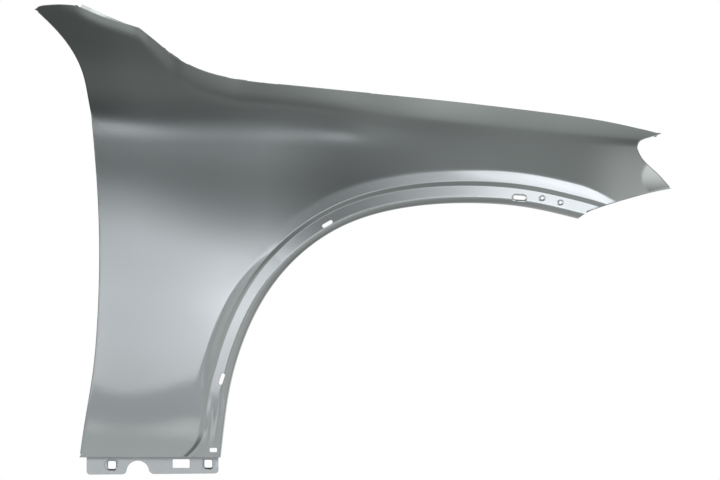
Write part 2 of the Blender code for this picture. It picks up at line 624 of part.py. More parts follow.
def panel_cutters(flange):
    """Cutters of all holes, and the middle and direction of each bolt hole."""
    bm = bmesh.new()
    for cx, cz, length, width, slope in BAND_SLOTS:
        cutter(bm, cx, cz, length, width, width / 2, slope)
    for cx, cz, wide in BAND_ROUNDS:
        drum(bm, cx, cz, wide / 2, count=12)
    cutter(bm, *LEG_HOLE, HOLE_CORNER, steps=2)
    for side in (-1, 1):
        cutter(bm, side * SQUARE_X, side * SQUARE_TILT, SQUARE_SIDE, SQUARE_SIDE, SQUARE_CORNER, y=(-6.0, 6.0))
    cutter(bm, *TAB_SLOT, HOLE_CORNER, y=(-6.0, 6.0), steps=2)
    foot, end = flange[-2], flange[-1]
    centres = []
    for centre in PADS:
        first, last = pad_span(foot[:, 0], centre)
        c = (foot[first] + foot[last] + end[first] + end[last]) / 4.0
        along = foot[last] - foot[first]
        n = np.cross(along, end[first] - foot[first])
        n /= np.linalg.norm(n)
        turn = Vector(n).to_track_quat("Z", "Y").to_matrix().to_4x4()
        bmesh.ops.create_cone(
            bm, cap_ends=True, segments=16, radius1=BOLT_HOLE / 2 * MM, radius2=BOLT_HOLE / 2 * MM, depth=12 * MM,
            matrix=Matrix.Translation(Vector(c) * MM) @ turn,
        )
        centres.append((c, n))
    bmesh.ops.recalc_face_normals(bm, faces=bm.faces)
    return to_object("cutter", bm), centres


def tab_cutters():
    """Cutters of the notch below the tab and of its rounded corners."""
    y = (-6.0, 6.0)
    deep = 20.0
    centre = NOTCH_TOP - NOTCH_RADIUS + TAB_RISE * NOTCH_X
    bottom = TAB_BOTTOM + TAB_RISE * NOTCH_X
    mouth = math.sqrt(NOTCH_RADIUS ** 2 - (bottom + NOTCH_FLARE - centre) ** 2)
    blocks = bmesh.new()
    rounds = bmesh.new()
    block(blocks, NOTCH_X, bottom + NOTCH_FLARE - 0.5 * deep, 2.0 * (mouth + NOTCH_FLARE), deep, y)
    for side in (-1, 1):
        drum(rounds, NOTCH_X + side * (mouth + NOTCH_FLARE), bottom + NOTCH_FLARE, NOTCH_FLARE, (-8.0, 8.0))
    for side, end in ((-1, TAB_LEFT), (1, TAB_RIGHT)):
        low = TAB_BOTTOM + TAB_RISE * end
        block(blocks, end + side * (0.5 * deep - TAB_CORNER), low + TAB_CORNER - 0.5 * deep, deep, deep, y)
        drum(rounds, end - side * TAB_CORNER, low + TAB_CORNER, TAB_CORNER, (-8.0, 8.0))
    tool = to_object("tab_corners", blocks)
    cut(tool, to_object("tab_rounds", rounds))
    notch = bmesh.new()
    drum(notch, NOTCH_X, centre, NOTCH_RADIUS, y, 40)
    return tool, to_object("notch", notch)


def to_object(name, bm):
    mesh = bpy.data.meshes.new(name)
    bm.to_mesh(mesh)
    bm.free()
    obj = bpy.data.objects.new(name, mesh)
    bpy.context.scene.collection.objects.link(obj)
    return obj


def apply_all(obj):
    graph = bpy.context.evaluated_depsgraph_get()
    mesh = bpy.data.meshes.new_from_object(obj.evaluated_get(graph))
    obj.modifiers.clear()
    obj.data = mesh


def cut(obj, tool):
    mod = obj.modifiers.new("cut", "BOOLEAN")
    mod.operation = "DIFFERENCE"
    mod.solver = "EXACT"
    mod.object = tool
    apply_all(obj)
    bpy.data.objects.remove(tool)


def paint():
    mat = bpy.data.materials.new("silver_paint")
    mat.use_nodes = True
    shader = mat.node_tree.nodes["Principled BSDF"]
    shader.inputs["Base Color"].default_value = (0.42, 0.43, 0.43, 1.0)
    shader.inputs["Metallic"].default_value = 0.8
    shader.inputs["Roughness"].default_value = 0.3
    return mat


def build():
    for obj in list(bpy.data.objects):
        bpy.data.objects.remove(obj)
    bm, flange = pressing()
    panel = to_object("fender_panel", bm)
    solid = panel.modifiers.new("sheet", "SOLIDIFY")
    solid.thickness = SHEET * MM
    solid.offset = -1.0
    apply_all(panel)
    tools, centres = panel_cutters(flange)
    cut(panel, tools)
    for tool in tab_cutters():
        cut(panel, tool)
    panel.data.materials.clear()
    panel.data.materials.append(paint())
    for poly in panel.data.polygons:
        poly.use_smooth = True
    panel.name = "fender_panel"
    panel.data.name = "fender_panel"
    return centres, flange


build()
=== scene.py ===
"""Silver front fender of a car, shown on its own in a plain white studio.

X runs forward along the car, Y inboard and Z up. Sizes are in millimetres and
are the ones of the part's source, so the pressing lies on its CAD solid.
"""

import math

import bmesh
import bpy
import numpy as np
from mathutils import Matrix, Vector


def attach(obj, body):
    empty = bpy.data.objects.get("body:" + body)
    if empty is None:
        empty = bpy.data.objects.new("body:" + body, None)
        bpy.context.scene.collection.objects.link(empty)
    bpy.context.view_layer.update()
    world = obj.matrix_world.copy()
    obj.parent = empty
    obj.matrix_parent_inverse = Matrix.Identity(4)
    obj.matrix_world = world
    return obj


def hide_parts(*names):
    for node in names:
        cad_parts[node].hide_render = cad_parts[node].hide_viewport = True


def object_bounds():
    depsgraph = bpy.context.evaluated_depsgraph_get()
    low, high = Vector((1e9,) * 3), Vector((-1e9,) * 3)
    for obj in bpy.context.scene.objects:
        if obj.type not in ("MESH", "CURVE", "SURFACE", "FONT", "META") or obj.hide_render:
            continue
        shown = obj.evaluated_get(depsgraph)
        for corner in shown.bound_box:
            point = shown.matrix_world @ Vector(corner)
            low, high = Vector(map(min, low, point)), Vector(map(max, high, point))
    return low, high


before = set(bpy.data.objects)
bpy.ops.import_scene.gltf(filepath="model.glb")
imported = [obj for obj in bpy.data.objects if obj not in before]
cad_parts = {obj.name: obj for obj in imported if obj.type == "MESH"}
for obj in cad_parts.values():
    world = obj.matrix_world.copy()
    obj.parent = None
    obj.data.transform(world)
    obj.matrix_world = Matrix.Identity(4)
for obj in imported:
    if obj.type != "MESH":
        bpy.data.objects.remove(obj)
CAD_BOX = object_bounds()

MM = 0.001

# Sheet and folds
SHEET = 1.0
EDGE_RADIUS = 1.6
DOOR_RETURN = 13.0
TAIL_RETURN = 12.0
FRONT_RETURN = 11.0
COWL_DROP = 4.0
COWL_SHELF = 7.0
HOOD_DROP = 10.0
HOOD_SHELF = 22.0

# Wheel arch, measured outward from the opening
LIP_START = 14.5
LIP_BEND = 8.0
LIP_BEND_DEPTH = 1.7
LIP_FLAT_DEPTH = 4.35
LIP_DEPTH = 19.2
LIP_EASE = 5.5
LIP_SECTION = (
    (12.8, 0.12), (11.2, 0.4), (9.9, 0.8), (8.9, 1.25), (7.5, 1.95), (5.0, 3.25), (2.9, 4.35), (2.1, 4.95),
    (1.2, 5.95), (0.3, 7.4), (-0.4, 9.2), (-0.7, 11.2),
)
RECESS_DEPTH = 5.6
RECESS_SPLIT = 0.14
STEP_INNER = 28.8
STEP_WIDTH = 8.0
STEP_OUTER = STEP_INNER + STEP_WIDTH
STEP_LEAN = 1.1
SOFT_WIDTH = 21.5
SOFT_DEPTH = 3.1
SOFT_INNER = 34.0
FRONT_NARROW = 9.5
BAND_WIDTH = 18.0
BAND_OUTER = STEP_OUTER + BAND_WIDTH
BAND_BEND = 3.0
BAND_ZONE = BAND_OUTER + 11.0
FLAT_TILT = 7.5
BAND_TILT = 3.5
BAND_BOW = 5.0
RECESS_TILT = 6.0
ARCH_RADIUS = 415.0
SPLIT_TOP = 100.0
SPLIT_GAP = 10.5
SPLIT_FLARE = 24.5

# Shares of the arch length over which its section changes
LEVEL_FADE = (0.0, 0.072)
SECOND_FADE = (0.04, 0.115)
LEG_LIP_FADE = (0.07, 0.19)
SOFT_RISE = (0.07, 0.22)
SOFT_NARROW = (0.28, 0.42)
SOFT_FALL = (0.33, 0.43)
LIP_TIGHTEN = (0.3, 0.46)
LEAN_FADE = (0.3, 0.5)
CRISP_FADE = (0.34, 0.75)
FRONT_FADE = (0.72, 0.87)
REACH_FADE = (0.72, 1.0)
NARROW_FADE = (0.985, 1.075)

# Sill tab
SILL_RADIUS = 0.8
TAB_RADIUS = 0.9
TAB_LEFT = -120.0
TAB_RIGHT = 95.0
TAB_TOP = 11.1
TAB_BOTTOM = -15.9
TAB_RISE = 0.009
TAB_CORNER = 6.0
NOTCH_X = -36.5
NOTCH_RADIUS = 18.4
NOTCH_TOP = 6.2
NOTCH_FLARE = ((-1, 7.0), (1, 12.0))
SQUARE_X = 78.5
SQUARE_SIDE = 12.6
SQUARE_TILT = 1.0
SQUARE_CORNER = 2.5
TAB_SLOT = (34.2, 1.2, 27.4, 14.0)

# Holes: centre x, centre z, length, width, slope in degrees
BAND_SLOTS = (
    (100.7, 139.0, 18.8, 5.6, 72.0),
    (272.5, 391.7, 18.8, 5.9, 30.0),
    (585.7, 434.7, 20.0, 6.5, -4.0),
)
BAND_ROUNDS = ((622.8, 434.0, 4.6), (652.7, 426.7, 4.6))
LEG_HOLE = (86.7, 23.3, 11.8, 6.7)
HOLE_CORNER = 1.5
BOLT_HOLE = 9.0
PADS = (230.0, 440.0, 650.0)
# Depths inboard that the cutters of the panel and of the tab run through
PANEL_CUT = (-90.0, 10.0)
TAB_CUT = (-6.0, 6.0)
ROUND_CUT = (-8.0, 8.0)

# Pressed rims: centre x, centre z, length, width, corner radius and slope of the hole, and width of the rim
RIM_FLOOR = 0.4
RIM_SLOPE = 0.53
RIM_MARGIN = 0.8
RIM_ABOVE = 0.4
PAD_TOP = -0.3
RIMS = (
    (-SQUARE_X, -SQUARE_TILT, SQUARE_SIDE, SQUARE_SIDE, SQUARE_CORNER, 0.0, 2.8),
    (SQUARE_X, SQUARE_TILT, SQUARE_SIDE, SQUARE_SIDE, SQUARE_CORNER, 0.0, 2.8),
    (*BAND_SLOTS[-1][:4], 3.2, BAND_SLOTS[-1][4], 2.4),
    *((cx, cz, wide, wide, 2.2, 0.0, 2.4) for cx, cz, wide in BAND_ROUNDS),
)

# Outline of the skin in side view
BOTTOM_Z = 11.1
ARCH = (
    (98.3, 11.1), (104.5, 66.0), (113.3, 124.0), (136.0, 202.5), (175.5, 281.0),
    (232.5, 346.0), (306.0, 392.7), (384.5, 416.2), (501.5, 426.1), (599.5, 418.7),
    (681.0, 400.5),
)
DOOR_LOW = (
    (-131.5, 11.1), (-122.6, 72.2), (-110.0, 150.4), (-103.0, 228.7), (-99.5, 333.0),
    (-102.2, 437.3), (-112.6, 570.0),
)
DOOR_HIGH = (
    (-112.6, 570.0), (-117.2, 593.8), (-125.2, 632.9), (-142.5, 672.0),
    (-173.0, 711.2), (-205.0, 742.0),
)
TAIL = ((-205.0, 742.0), (-199.0, 746.0), (-183.0, 749.2), (-160.0, 750.3), (-135.6, 748.7))
COWL = ((-135.6, 748.7), (-89.0, 729.1), (-61.5, 721.0), (-34.1, 712.5))
SWEEP = (
    (-34.1, 712.5), (-8.5, 691.6), (12.7, 673.7), (45.3, 652.5), (91.0, 635.7),
    (167.0, 623.2),
)
HOOD = ((167.0, 623.2), (306.1, 609.3), (462.6, 594.0), (619.1, 575.7), (756.0, 553.9), (816.8, 538.7))
LAMP_HIGH = ((777.9, 515.6), (780.5, 524.0), (795.1, 532.0), (816.8, 538.7))
LAMP_LOW = ((777.9, 515.6), (783.7, 502.5), (808.8, 476.4), (833.1, 449.5))
BUMPER = ((681.0, 400.5), (697.3, 410.9), (716.9, 418.6), (756.0, 430.8), (814.7, 446.0), (833.1, 449.5))
CREASE = (
    (-112.6, 570.0), (-82.0, 568.0), (-17.0, 563.0), (81.0, 560.0), (195.0, 557.0), (260.0, 553.5),
    (342.0, 546.0), (440.0, 537.0), (560.0, 528.0), (777.9, 515.6),
)

# Plan of the crease line, and upward tilt of the skin in degrees by height from it
PLAN = (
    (-204.0, 13.0), (-131.0, 5.0), (-50.0, -2.5), (50.0, -8.5), (150.0, -12.0), (250.0, -13.5),
    (350.0, -14.0), (450.0, -12.5), (550.0, -7.0), (650.0, 7.0), (750.0, 32.0), (840.0, 68.0),
)
REAR_BELOW = (
    (-560.0, -6.0), (-437.0, -3.5), (-311.0, 0.5), (-250.0, 3.5), (-190.0, 6.2), (-140.0, 8.2),
    (-110.0, 9.3), (-75.0, 10.3), (-30.0, 10.2), (0.0, 13.0),
)
LEG_BELOW = (
    (-560.0, -6.0), (-437.0, -3.5), (-350.0, -0.8), (-290.0, 2.2), (-245.0, 5.4), (-197.0, 8.0),
    (-160.0, 9.5), (-130.0, 10.5), (-90.0, 11.3), (-30.0, 10.6), (0.0, 13.0),
)
ARCH_BELOW = (
    (-560.0, -6.0), (-400.0, -2.0), (-311.0, 3.0), (-200.0, 9.5), (-150.0, 12.5), (-110.0, 14.5),
    (-60.0, 17.0), (-25.0, 18.5), (0.0, 20.0),
)
REAR_ABOVE = (
    (0.0, 13.0), (14.0, 18.5), (30.0, 20.5), (64.0, 23.3), (100.0, 25.5), (135.0, 26.7), (195.0, 28.0),
)
ARCH_ABOVE = ((0.0, 20.0), (0.35, 28.0), (0.7, 38.0), (0.88, 47.0), (1.0, 55.0), (1.3, 55.0))
HOOD_RISE = (
    (-204.0, 74.0), (166.0, 74.0), (342.0, 68.0), (505.0, 58.0), (650.0, 45.0), (778.0, 34.0), (840.0, 28.0),
)
# How many degrees steeper the skin stands just under the crease line, and flatter at its upper edge
RIDGE = (
    (-131.0, 3.4), (-60.0, 3.0), (0.0, 2.2), (60.0, 1.6), (120.0, 1.5), (200.0, 2.2), (260.0, 4.0),
    (325.0, 6.0), (385.0, 2.0), (450.0, 0.0), (600.0, 0.0), (840.0, 0.0),
)
ROLL_WIDTH = ((-205.0, 20.0), (-30.0, 26.0), (20.0, 50.0), (120.0, 52.0), (350.0, 40.0), (840.0, 30.0))
ROLL_TILT = (
    (-205.0, 0.0), (-160.0, 2.0), (-115.0, 11.0), (-45.0, 12.0), (-15.0, 5.0), (35.0, 4.0),
    (80.0, 8.0), (130.0, 12.0), (840.0, 12.0),
)
LEG_START = -110.0
BLEND_START = 165.0
BLEND_END = 450.0
# Small flat at the nose tip
FACET_X = 784.5
FACET_Z = 467.0
FACET_TURN = 6.0
FACET_HALF = 17.0
FACET_CURVE = 6.0
FACET_REACH = 50.0
FACET_FADE = (487.0, 497.0)

# Flange under the hood line, by place along the car
PAD_HALF = 17.0
HOOD_TURN = (-45.0, -5.0)
COWL_TURN = (-58.0, -42.0)
COWL_NARROW = (-120.0, -45.0)
NOSE_TAPER = 90.0

# Columns of the net along the arch, and rows across it
LEG_END = 270.0
SWEEP_END = 385.0
HOOD_END = 800.0
LEG_CELLS = 90
TAIL_CELLS = 66
TAIL_COLUMNS = 14
COWL_COLUMNS = 20
HOOD_CELLS = 130
FRONT_CELLS = 22
SKIN_ROWS = 34
TOP_ROWS = 28
# Rows of the arch zone: on the outer band where the step isn't shifted, and from the top of each wall
BAND_ROWS = (66, 62, 60, 58.5, 57, 55.5, 54, 52.5, 51, 49, 46.5, 44, 41, 39)
WALL_ROWS = (0.7, 0.0, -0.55, -1.1, -3.2, -5.3, -7.35, -7.7, -8.0, -8.6)
SECOND_ROWS = (0.6, 0.0, -0.9, -1.8, -3.0, -4.2, -5.1, -6.0, -6.6)
# Steps along a curve that is measured or read as a table
FINE = 3000
# Angles of the rows round a fold
BEND = (18.0, 36.0, 54.0, 72.0, 90.0)

# Silver paint: noises by scale and detail, what is left of the paint on the inner side where it is thin, and
# the darker, duller paint on the sill tab that is painted shade
PAINT = (0.158, 0.174, 0.172)
ROUGHNESS = (0.242, 0.258)
COAT_ROUGHNESS = 0.02
COAT_IOR = 1.6
FLAKE = (1600.0, 2.0)
FLAKE_SHARE = 0.07
CLOUD = (5.0, 3.0)
CLOUD_SHARE = 0.015
HAZE = (14.0, 4.0)
PEEL = (420.0, 1.0)
PEEL_STRENGTH = 0.04
PEEL_DEPTH = 0.0004
NOISE_SPAN = (0.3, 0.7)
TAB_SHADE_AND_THIN_SHINE = 0.62
TAB_AND_INNER_ROUGHER = 0.12
TAB_AND_INNER_COAT = 0.35
# Painted shade on the sill tab: the share of darker, duller paint it gets, and the heights over which that
# fades out
TAB_SHADE = 0.35
TAB_SHADE_FADE = ((TAB_TOP - 0.5) * MM, (TAB_TOP - 1.2) * MM)
INNER_TILT = 0.35
SHARP_ANGLE = 40.0

# Floor and camera, in metres
FLOOR_SIZE = 4.0
FLOOR_GAP = 0.0005
FLOOR_TONE = (0.82, 0.88)
VIEW_WIDTH = 1.1736
VIEW_X = 0.3257
VIEW_Z = 0.3656
VIEW_DISTANCE = 4.0


def smooth(value, low, high):
    t = np.clip((np.asarray(value, float) - low) / (high - low), 0.0, 1.0)
    return t * t * (3.0 - 2.0 * t)


class Curve:
    """Natural cubic spline through points, measured by chord length."""

    def __init__(self, points):
        self.p = np.array(points, float)
        self.s = np.r_[0.0, np.cumsum(np.linalg.norm(np.diff(self.p, axis=0), axis=1))]
        n = len(self.p)
        h = np.diff(self.s)
        a = np.eye(n)
        b = np.zeros_like(self.p)
        for i in range(1, n - 1):
            a[i, i - 1:i + 2] = h[i - 1], 2.0 * (h[i - 1] + h[i]), h[i]
            b[i] = 6.0 * ((self.p[i + 1] - self.p[i]) / h[i] - (self.p[i] - self.p[i - 1]) / h[i - 1])
        self.m = np.linalg.solve(a, b)
        self.length = self.s[-1]

    def at(self, s):
        s = np.atleast_1d(np.asarray(s, float))
        i = np.clip(np.searchsorted(self.s, s) - 1, 0, len(self.s) - 2)
        h = (self.s[i + 1] - self.s[i])[:, None]
        t = (s - self.s[i])[:, None]
        u = h - t
        p0, p1, m0, m1 = self.p[i], self.p[i + 1], self.m[i], self.m[i + 1]
        bent = (m0 * u ** 3 + m1 * t ** 3) / (6.0 * h)
        return bent + (p0 / h - m0 * h / 6.0) * u + (p1 / h - m1 * h / 6.0) * t

    def fine(self):
        """Points close together along the whole curve."""
        return self.at(np.linspace(0.0, self.length, FINE))

    def fractions(self, f):
        """Points at shares of the curve's true length."""
        fine = self.fine()
        run = np.r_[0.0, np.cumsum(np.linalg.norm(np.diff(fine, axis=0), axis=1))]
        goal = np.asarray(f, float) * run[-1]
        return np.column_stack([np.interp(goal, run, fine[:, k]) for k in range(fine.shape[1])])


def height_table(points):
    """Smooth curve through points as two columns to look values up in."""
    return Curve(points).fine().T


def rise_table(points):
    """Inboard run against height for a skin whose tilt goes through the points."""
    heights = np.linspace(points[0][0], points[-1][0], 2 * FINE)
    slope = np.tan(np.radians(np.interp(heights, *height_table(points))))
    run = np.r_[0.0, np.cumsum((slope[1:] + slope[:-1]) * 0.5 * np.diff(heights))]
    return heights, run - np.interp(0.0, heights, run)


CREASE_LINE = height_table(CREASE)
PLAN_LINE = height_table(PLAN)
RISE_LINE = height_table(HOOD_RISE)
RIDGE_LINE = height_table(RIDGE)
UPPER_LINE = np.hstack([height_table(edge) for edge in (TAIL, COWL, SWEEP, HOOD)])
REAR_LOW = rise_table(REAR_BELOW)
LEG_LOW = rise_table(LEG_BELOW)
REAR_HIGH = rise_table(REAR_ABOVE)
ARCH_LOW = rise_table(ARCH_BELOW)
ARCH_HIGH = rise_table(ARCH_ABOVE)
RIDGE_W = np.linspace(-60.0, 20.0, 801)
RIDGE_SHAPE = smooth(RIDGE_W, -42.0, -16.0) * (1.0 - smooth(RIDGE_W, -12.0, 4.0))
RIDGE_RUN = np.cumsum(RIDGE_SHAPE) * (RIDGE_W[1] - RIDGE_W[0])
ROLL_T = np.linspace(-0.2, 1.0, 1201)
ROLL_RUN = np.cumsum((1.0 - smooth(ROLL_T, 0.3, 1.0))[::-1])[::-1] * (ROLL_T[1] - ROLL_T[0])
ARCH_CURVE = Curve(ARCH)
BUMPER_CURVE = Curve(BUMPER)


def beyond(table, value):
    """Table look-up that runs on straight past its ends."""
    x, y = table
    value = np.asarray(value, float)
    end = (y[-1] - y[-2]) / (x[-1] - x[-2])
    start = (y[1] - y[0]) / (x[1] - x[0])
    out = np.interp(value, x, y)
    out = np.where(value > x[-1], y[-1] + (value - x[-1]) * end, out)
    return np.where(value < x[0], y[0] + (value - x[0]) * start, out)


def skin_depth(x, z):
    """Inboard position of the main skin at a point of the side view."""
    x = np.asarray(x, float)
    z = np.asarray(z, float)
    w = z - beyond(CREASE_LINE, x)
    rise = beyond(RISE_LINE, x)
    forward = smooth(x, LEG_START, BLEND_START)
    rear = (1.0 - forward) * beyond(REAR_LOW, w) + forward * beyond(LEG_LOW, w)
    rear = np.where(w < 0.0, rear, beyond(REAR_HIGH, w))
    arch = np.where(w < 0.0, beyond(ARCH_LOW, w), rise * beyond(ARCH_HIGH, w / rise))
    q = smooth(x, BLEND_START, BLEND_END)
    ridge = np.tan(np.radians(np.interp(x, *RIDGE_LINE))) * np.interp(w, RIDGE_W, RIDGE_RUN)
    width = np.interp(x, *np.transpose(ROLL_WIDTH))
    t = np.clip((np.interp(x, *UPPER_LINE) - z) / width, -0.2, 1.0)
    tilt = np.interp(x, *np.transpose(ROLL_TILT))
    roll = np.tan(np.radians(tilt)) * width * (1.0 - q) * np.interp(t, ROLL_T, ROLL_RUN)
    bow = FACET_CURVE * ((z - FACET_Z) / FACET_HALF) ** 2
    facet = np.clip(x - FACET_X - bow, 0.0, None) * (1.0 - smooth(z, *FACET_FADE))
    facet = np.tan(np.radians(FACET_TURN)) * np.minimum(facet, FACET_REACH)
    return beyond(PLAN_LINE, x) + (1.0 - q) * rear + q * arch - ridge + roll + facet


def skin_slope(x, z, step=0.5):
    sx = (skin_depth(x + step, z) - skin_depth(x - step, z)) / (2.0 * step)
    sz = (skin_depth(x, z + step) - skin_depth(x, z - step)) / (2.0 * step)
    return sx, sz


# Arch frame: points and outward normals, running on as an arc past the front end
ARCH_END = ARCH_CURVE.at(ARCH_CURVE.length)[0]
END_DIR = ARCH_END - ARCH_CURVE.at(ARCH_CURVE.length - 0.5)[0]
END_DIR = END_DIR / np.linalg.norm(END_DIR)
END_NORMAL = np.array([-END_DIR[1], END_DIR[0]])
END_CENTRE = ARCH_END - ARCH_RADIUS * END_NORMAL


def along_arch(s, start, end):
    """Smooth 0 to 1 between two shares of the arch length."""
    return smooth(np.asarray(s, float) / ARCH_CURVE.length, start, end)


def arch_frame(s):
    """Side-view points of the arch and the directions straight out from it."""
    s = np.atleast_1d(np.asarray(s, float))
    inside = np.clip(s, 0.0, ARCH_CURVE.length)
    point = ARCH_CURVE.at(inside)
    after = ARCH_CURVE.at(np.clip(inside + 0.5, 0, ARCH_CURVE.length))
    before = ARCH_CURVE.at(np.clip(inside - 0.5, 0, None))
    tangent = (after - before) / np.linalg.norm(after - before, axis=1)[:, None]
    normal = np.column_stack([-tangent[:, 1], tangent[:, 0]])
    level = along_arch(s, *LEVEL_FADE)[:, None]
    normal = level * normal + (1.0 - level) * np.array([-1.0, 0.0])
    normal /= np.linalg.norm(normal, axis=1)[:, None]
    turn = np.clip(s - ARCH_CURVE.length, 0.0, None) / ARCH_RADIUS
    cos, sin = np.cos(turn), np.sin(turn)
    out_x, out_z = END_NORMAL
    turned = np.column_stack([out_x * cos + out_z * sin, -out_x * sin + out_z * cos])
    past = (s > ARCH_CURVE.length)[:, None]
    point = np.where(past, END_CENTRE + ARCH_RADIUS * turned, point)
    normal = np.where(past, turned, normal)
    return point, normal


def bumper_reach():
    """Extra arch length needed at each distance from the arch to meet the bumper edge."""
    fine = BUMPER_CURVE.fine() - END_CENTRE
    away = np.linalg.norm(fine, axis=1) - ARCH_RADIUS
    turn = np.arctan2(fine[:, 0], fine[:, 1]) - math.atan2(END_NORMAL[0], END_NORMAL[1])
    return away, turn * ARCH_RADIUS


REACH = bumper_reach()


def band_point(s0, d):
    """Side-view point, arch position and normal for a column of the net and a distance."""
    d = np.asarray(d, float) + 0.0 * s0
    extra = np.interp(np.clip(d, 0.0, None), REACH[0], REACH[1])
    s = s0 + along_arch(s0, *REACH_FADE) * extra
    point, normal = arch_frame(s)
    return point + normal * d[:, None], s, normal


def ramp(t, ease=0.45, end=0.12):
    """Rise from 0 to 1 with rounded ends and a straight middle."""
    t = np.clip(t, 0.0, 1.0)
    k = 1.0 / (1.0 - 0.5 * (ease + end))
    low = 0.5 * k * t * t / ease
    high = 1.0 - 0.5 * k * (1.0 - t) ** 2 / end
    mid = k * (t - 0.5 * ease)
    return np.where(t < ease, low, np.where(t > 1.0 - end, high, mid))


def step_shift(s):
    """How far the outer and the inner wall of the step move from its place low down on the leg."""
    share = s / SPLIT_TOP
    high = smooth(share, 0.6, 1.6)
    lean = STEP_LEAN * along_arch(s, *LEAN_FADE)
    outer = SPLIT_FLARE * np.clip(1.0 - share / 0.4, 0.0, 1.0) ** 2 + 3.0 * (1.0 - high) - lean
    inner = (SPLIT_FLARE - 3.0) * np.clip(1.0 - share / 0.34, 0.0, 1.0) ** 2 - SPLIT_GAP - 1.5 * high
    return outer, inner


def band_depth(s, d, point, normal):
    """Inboard position inside the arch zone: flat band, step, recess."""
    outer = BAND_OUTER - FRONT_NARROW * along_arch(s, *NARROW_FADE)
    gap = outer + BAND_BEND - np.asarray(d, float)
    foot = point + normal * gap[:, None]
    y = skin_depth(foot[:, 0], foot[:, 1])
    sx, sz = skin_slope(foot[:, 0], foot[:, 1])
    own = -(sx * normal[:, 0] + sz * normal[:, 1])
    crisp = along_arch(s, *CRISP_FADE)
    front = along_arch(s, *FRONT_FADE)
    first, second = (
        own * (1.0 - crisp) - np.tan(np.radians(FLAT_TILT + (tilt - FLAT_TILT) * front)) * crisp
        for tilt in (BAND_TILT, RECESS_TILT)
    )
    turn = np.clip(gap, 0.0, 2.0 * BAND_BEND)
    y = y + own * turn + (first - own) * turn ** 2 / (4.0 * BAND_BEND)
    past = gap - 2.0 * BAND_BEND
    middle = outer - BAND_BEND - 0.5 * (STEP_OUTER + STEP_INNER)
    flat = np.clip(past, 0.0, middle)
    y = y + first * flat - np.tan(np.radians(BAND_BOW)) * front * (flat ** 2 / (2.0 * middle) - 0.2 * flat)
    y = y + second * np.clip(past - middle, 0.0, None)
    near, far = step_shift(s)
    second_step = RECESS_SPLIT * RECESS_DEPTH * (1.0 - along_arch(s, *SECOND_FADE))
    soft = along_arch(s, *SOFT_RISE) * (1.0 - along_arch(s, *SOFT_FALL))
    share = 1.0 - 0.55 * along_arch(s, *SOFT_NARROW)
    hollow = SOFT_DEPTH * soft * share
    reach = SOFT_WIDTH * share
    step = RECESS_DEPTH - second_step - 0.7 * hollow
    y = y + step * ramp((STEP_OUTER + near - d) / (STEP_WIDTH * (1.0 - 0.18 * soft)), 0.12, 0.08)
    y = y + second_step * ramp((STEP_OUTER + far - d) / (STEP_WIDTH - 2.0), 0.3, 0.3)
    y = y + hollow * ramp((SOFT_INNER + reach - d) / reach, 0.75, 0.25)
    return np.where(gap > 0.0, y, skin_depth(point[:, 0], point[:, 1]))


def columns():
    """Arch length at each column of the net and the matching points on the outer edges."""
    leg = LEG_END * np.arange(LEG_CELLS + 1) / LEG_CELLS
    tail = LEG_END + (SWEEP_END - LEG_END) * np.arange(1, TAIL_CELLS + 1) / TAIL_CELLS
    hood = SWEEP_END + (HOOD_END - SWEEP_END) * np.arange(1, HOOD_CELLS + 1) / HOOD_CELLS
    front = HOOD_END + (ARCH_CURVE.length - HOOD_END) * np.arange(1, FRONT_CELLS + 1) / FRONT_CELLS
    s = np.r_[leg, tail, hood, front]
    door = Curve(DOOR_LOW).fractions(leg / leg[-1])
    start, middle, end = CREASE[0][0], HOOD[0][0], CREASE[-1][0]
    tail_x = start + (middle - start) * np.arange(1, TAIL_CELLS + 1) / TAIL_CELLS
    hood_x = middle + (end - middle) * np.arange(1, HOOD_CELLS + 1) / HOOD_CELLS
    crease_x = np.r_[tail_x, hood_x]
    crease = np.column_stack([crease_x, np.interp(crease_x, *CREASE_LINE)])
    lamp = Curve(LAMP_LOW).fractions(np.arange(1, FRONT_CELLS + 1) / FRONT_CELLS)
    return s, np.vstack([door, crease, lamp]), LEG_CELLS, LEG_CELLS + TAIL_CELLS + HOOD_CELLS


def coons(low, high, left, right):
    """Net between four edges: low and high run along, left and right run across."""
    u = np.r_[0.0, np.cumsum(np.linalg.norm(np.diff(low, axis=0), axis=1))]
    u = (u / u[-1])[:, None, None]
    v = np.r_[0.0, np.cumsum(np.linalg.norm(np.diff(left, axis=0), axis=1))]
    v = (v / v[-1])[None, :, None]
    net = (1 - v) * low[:, None] + v * high[:, None] + (1 - u) * left[None] + u * right[None]
    corner = (1 - u) * (1 - v) * low[0] + u * (1 - v) * low[-1] + (1 - u) * v * high[0] + u * v * high[-1]
    return np.swapaxes(net - corner, 0, 1)


def on_skin(xz):
    """Net of places on the main skin, over a net of side-view points."""
    x, z = xz[..., 0], xz[..., 1]
    return np.dstack([x, skin_depth(x, z), z])


def band_rows(s):
    """Distances from the arch of the rows across it, closer together on the step."""
    near, far = step_shift(s)
    high = STEP_OUTER + near
    low = STEP_OUTER + far
    brink = WALL_ROWS[0]
    share = (BAND_ZONE - high - brink) / (BAND_ZONE - STEP_OUTER - brink)
    rows = [high + brink + (base - STEP_OUTER - brink) * share for base in BAND_ROWS]
    rows += [high + t for t in WALL_ROWS]
    rows += [low + t for t in SECOND_ROWS]
    last = rows[-1]
    rows += [last + (lip_start(s) - last) * t for t in (0.35, 0.7, 1.0)]
    return rows


def lip_tightness(s):
    """Share of its width low on the leg that the bend onto the lip keeps."""
    return 1.0 - 0.6 * along_arch(s, *LIP_TIGHTEN)


def lip_start(s):
    """Distance from the arch at which the recess bends onto the lip."""
    return LIP_BEND + (LIP_START - LIP_BEND) * lip_tightness(s)


def normals(net):
    """Outer normals of a net of places."""
    across = np.gradient(net, axis=0)
    along = np.gradient(net, axis=1)
    n = np.cross(across, along)
    n /= np.linalg.norm(n, axis=2)[..., None]
    return np.where(n[..., 1:2] > 0.0, -n, n)


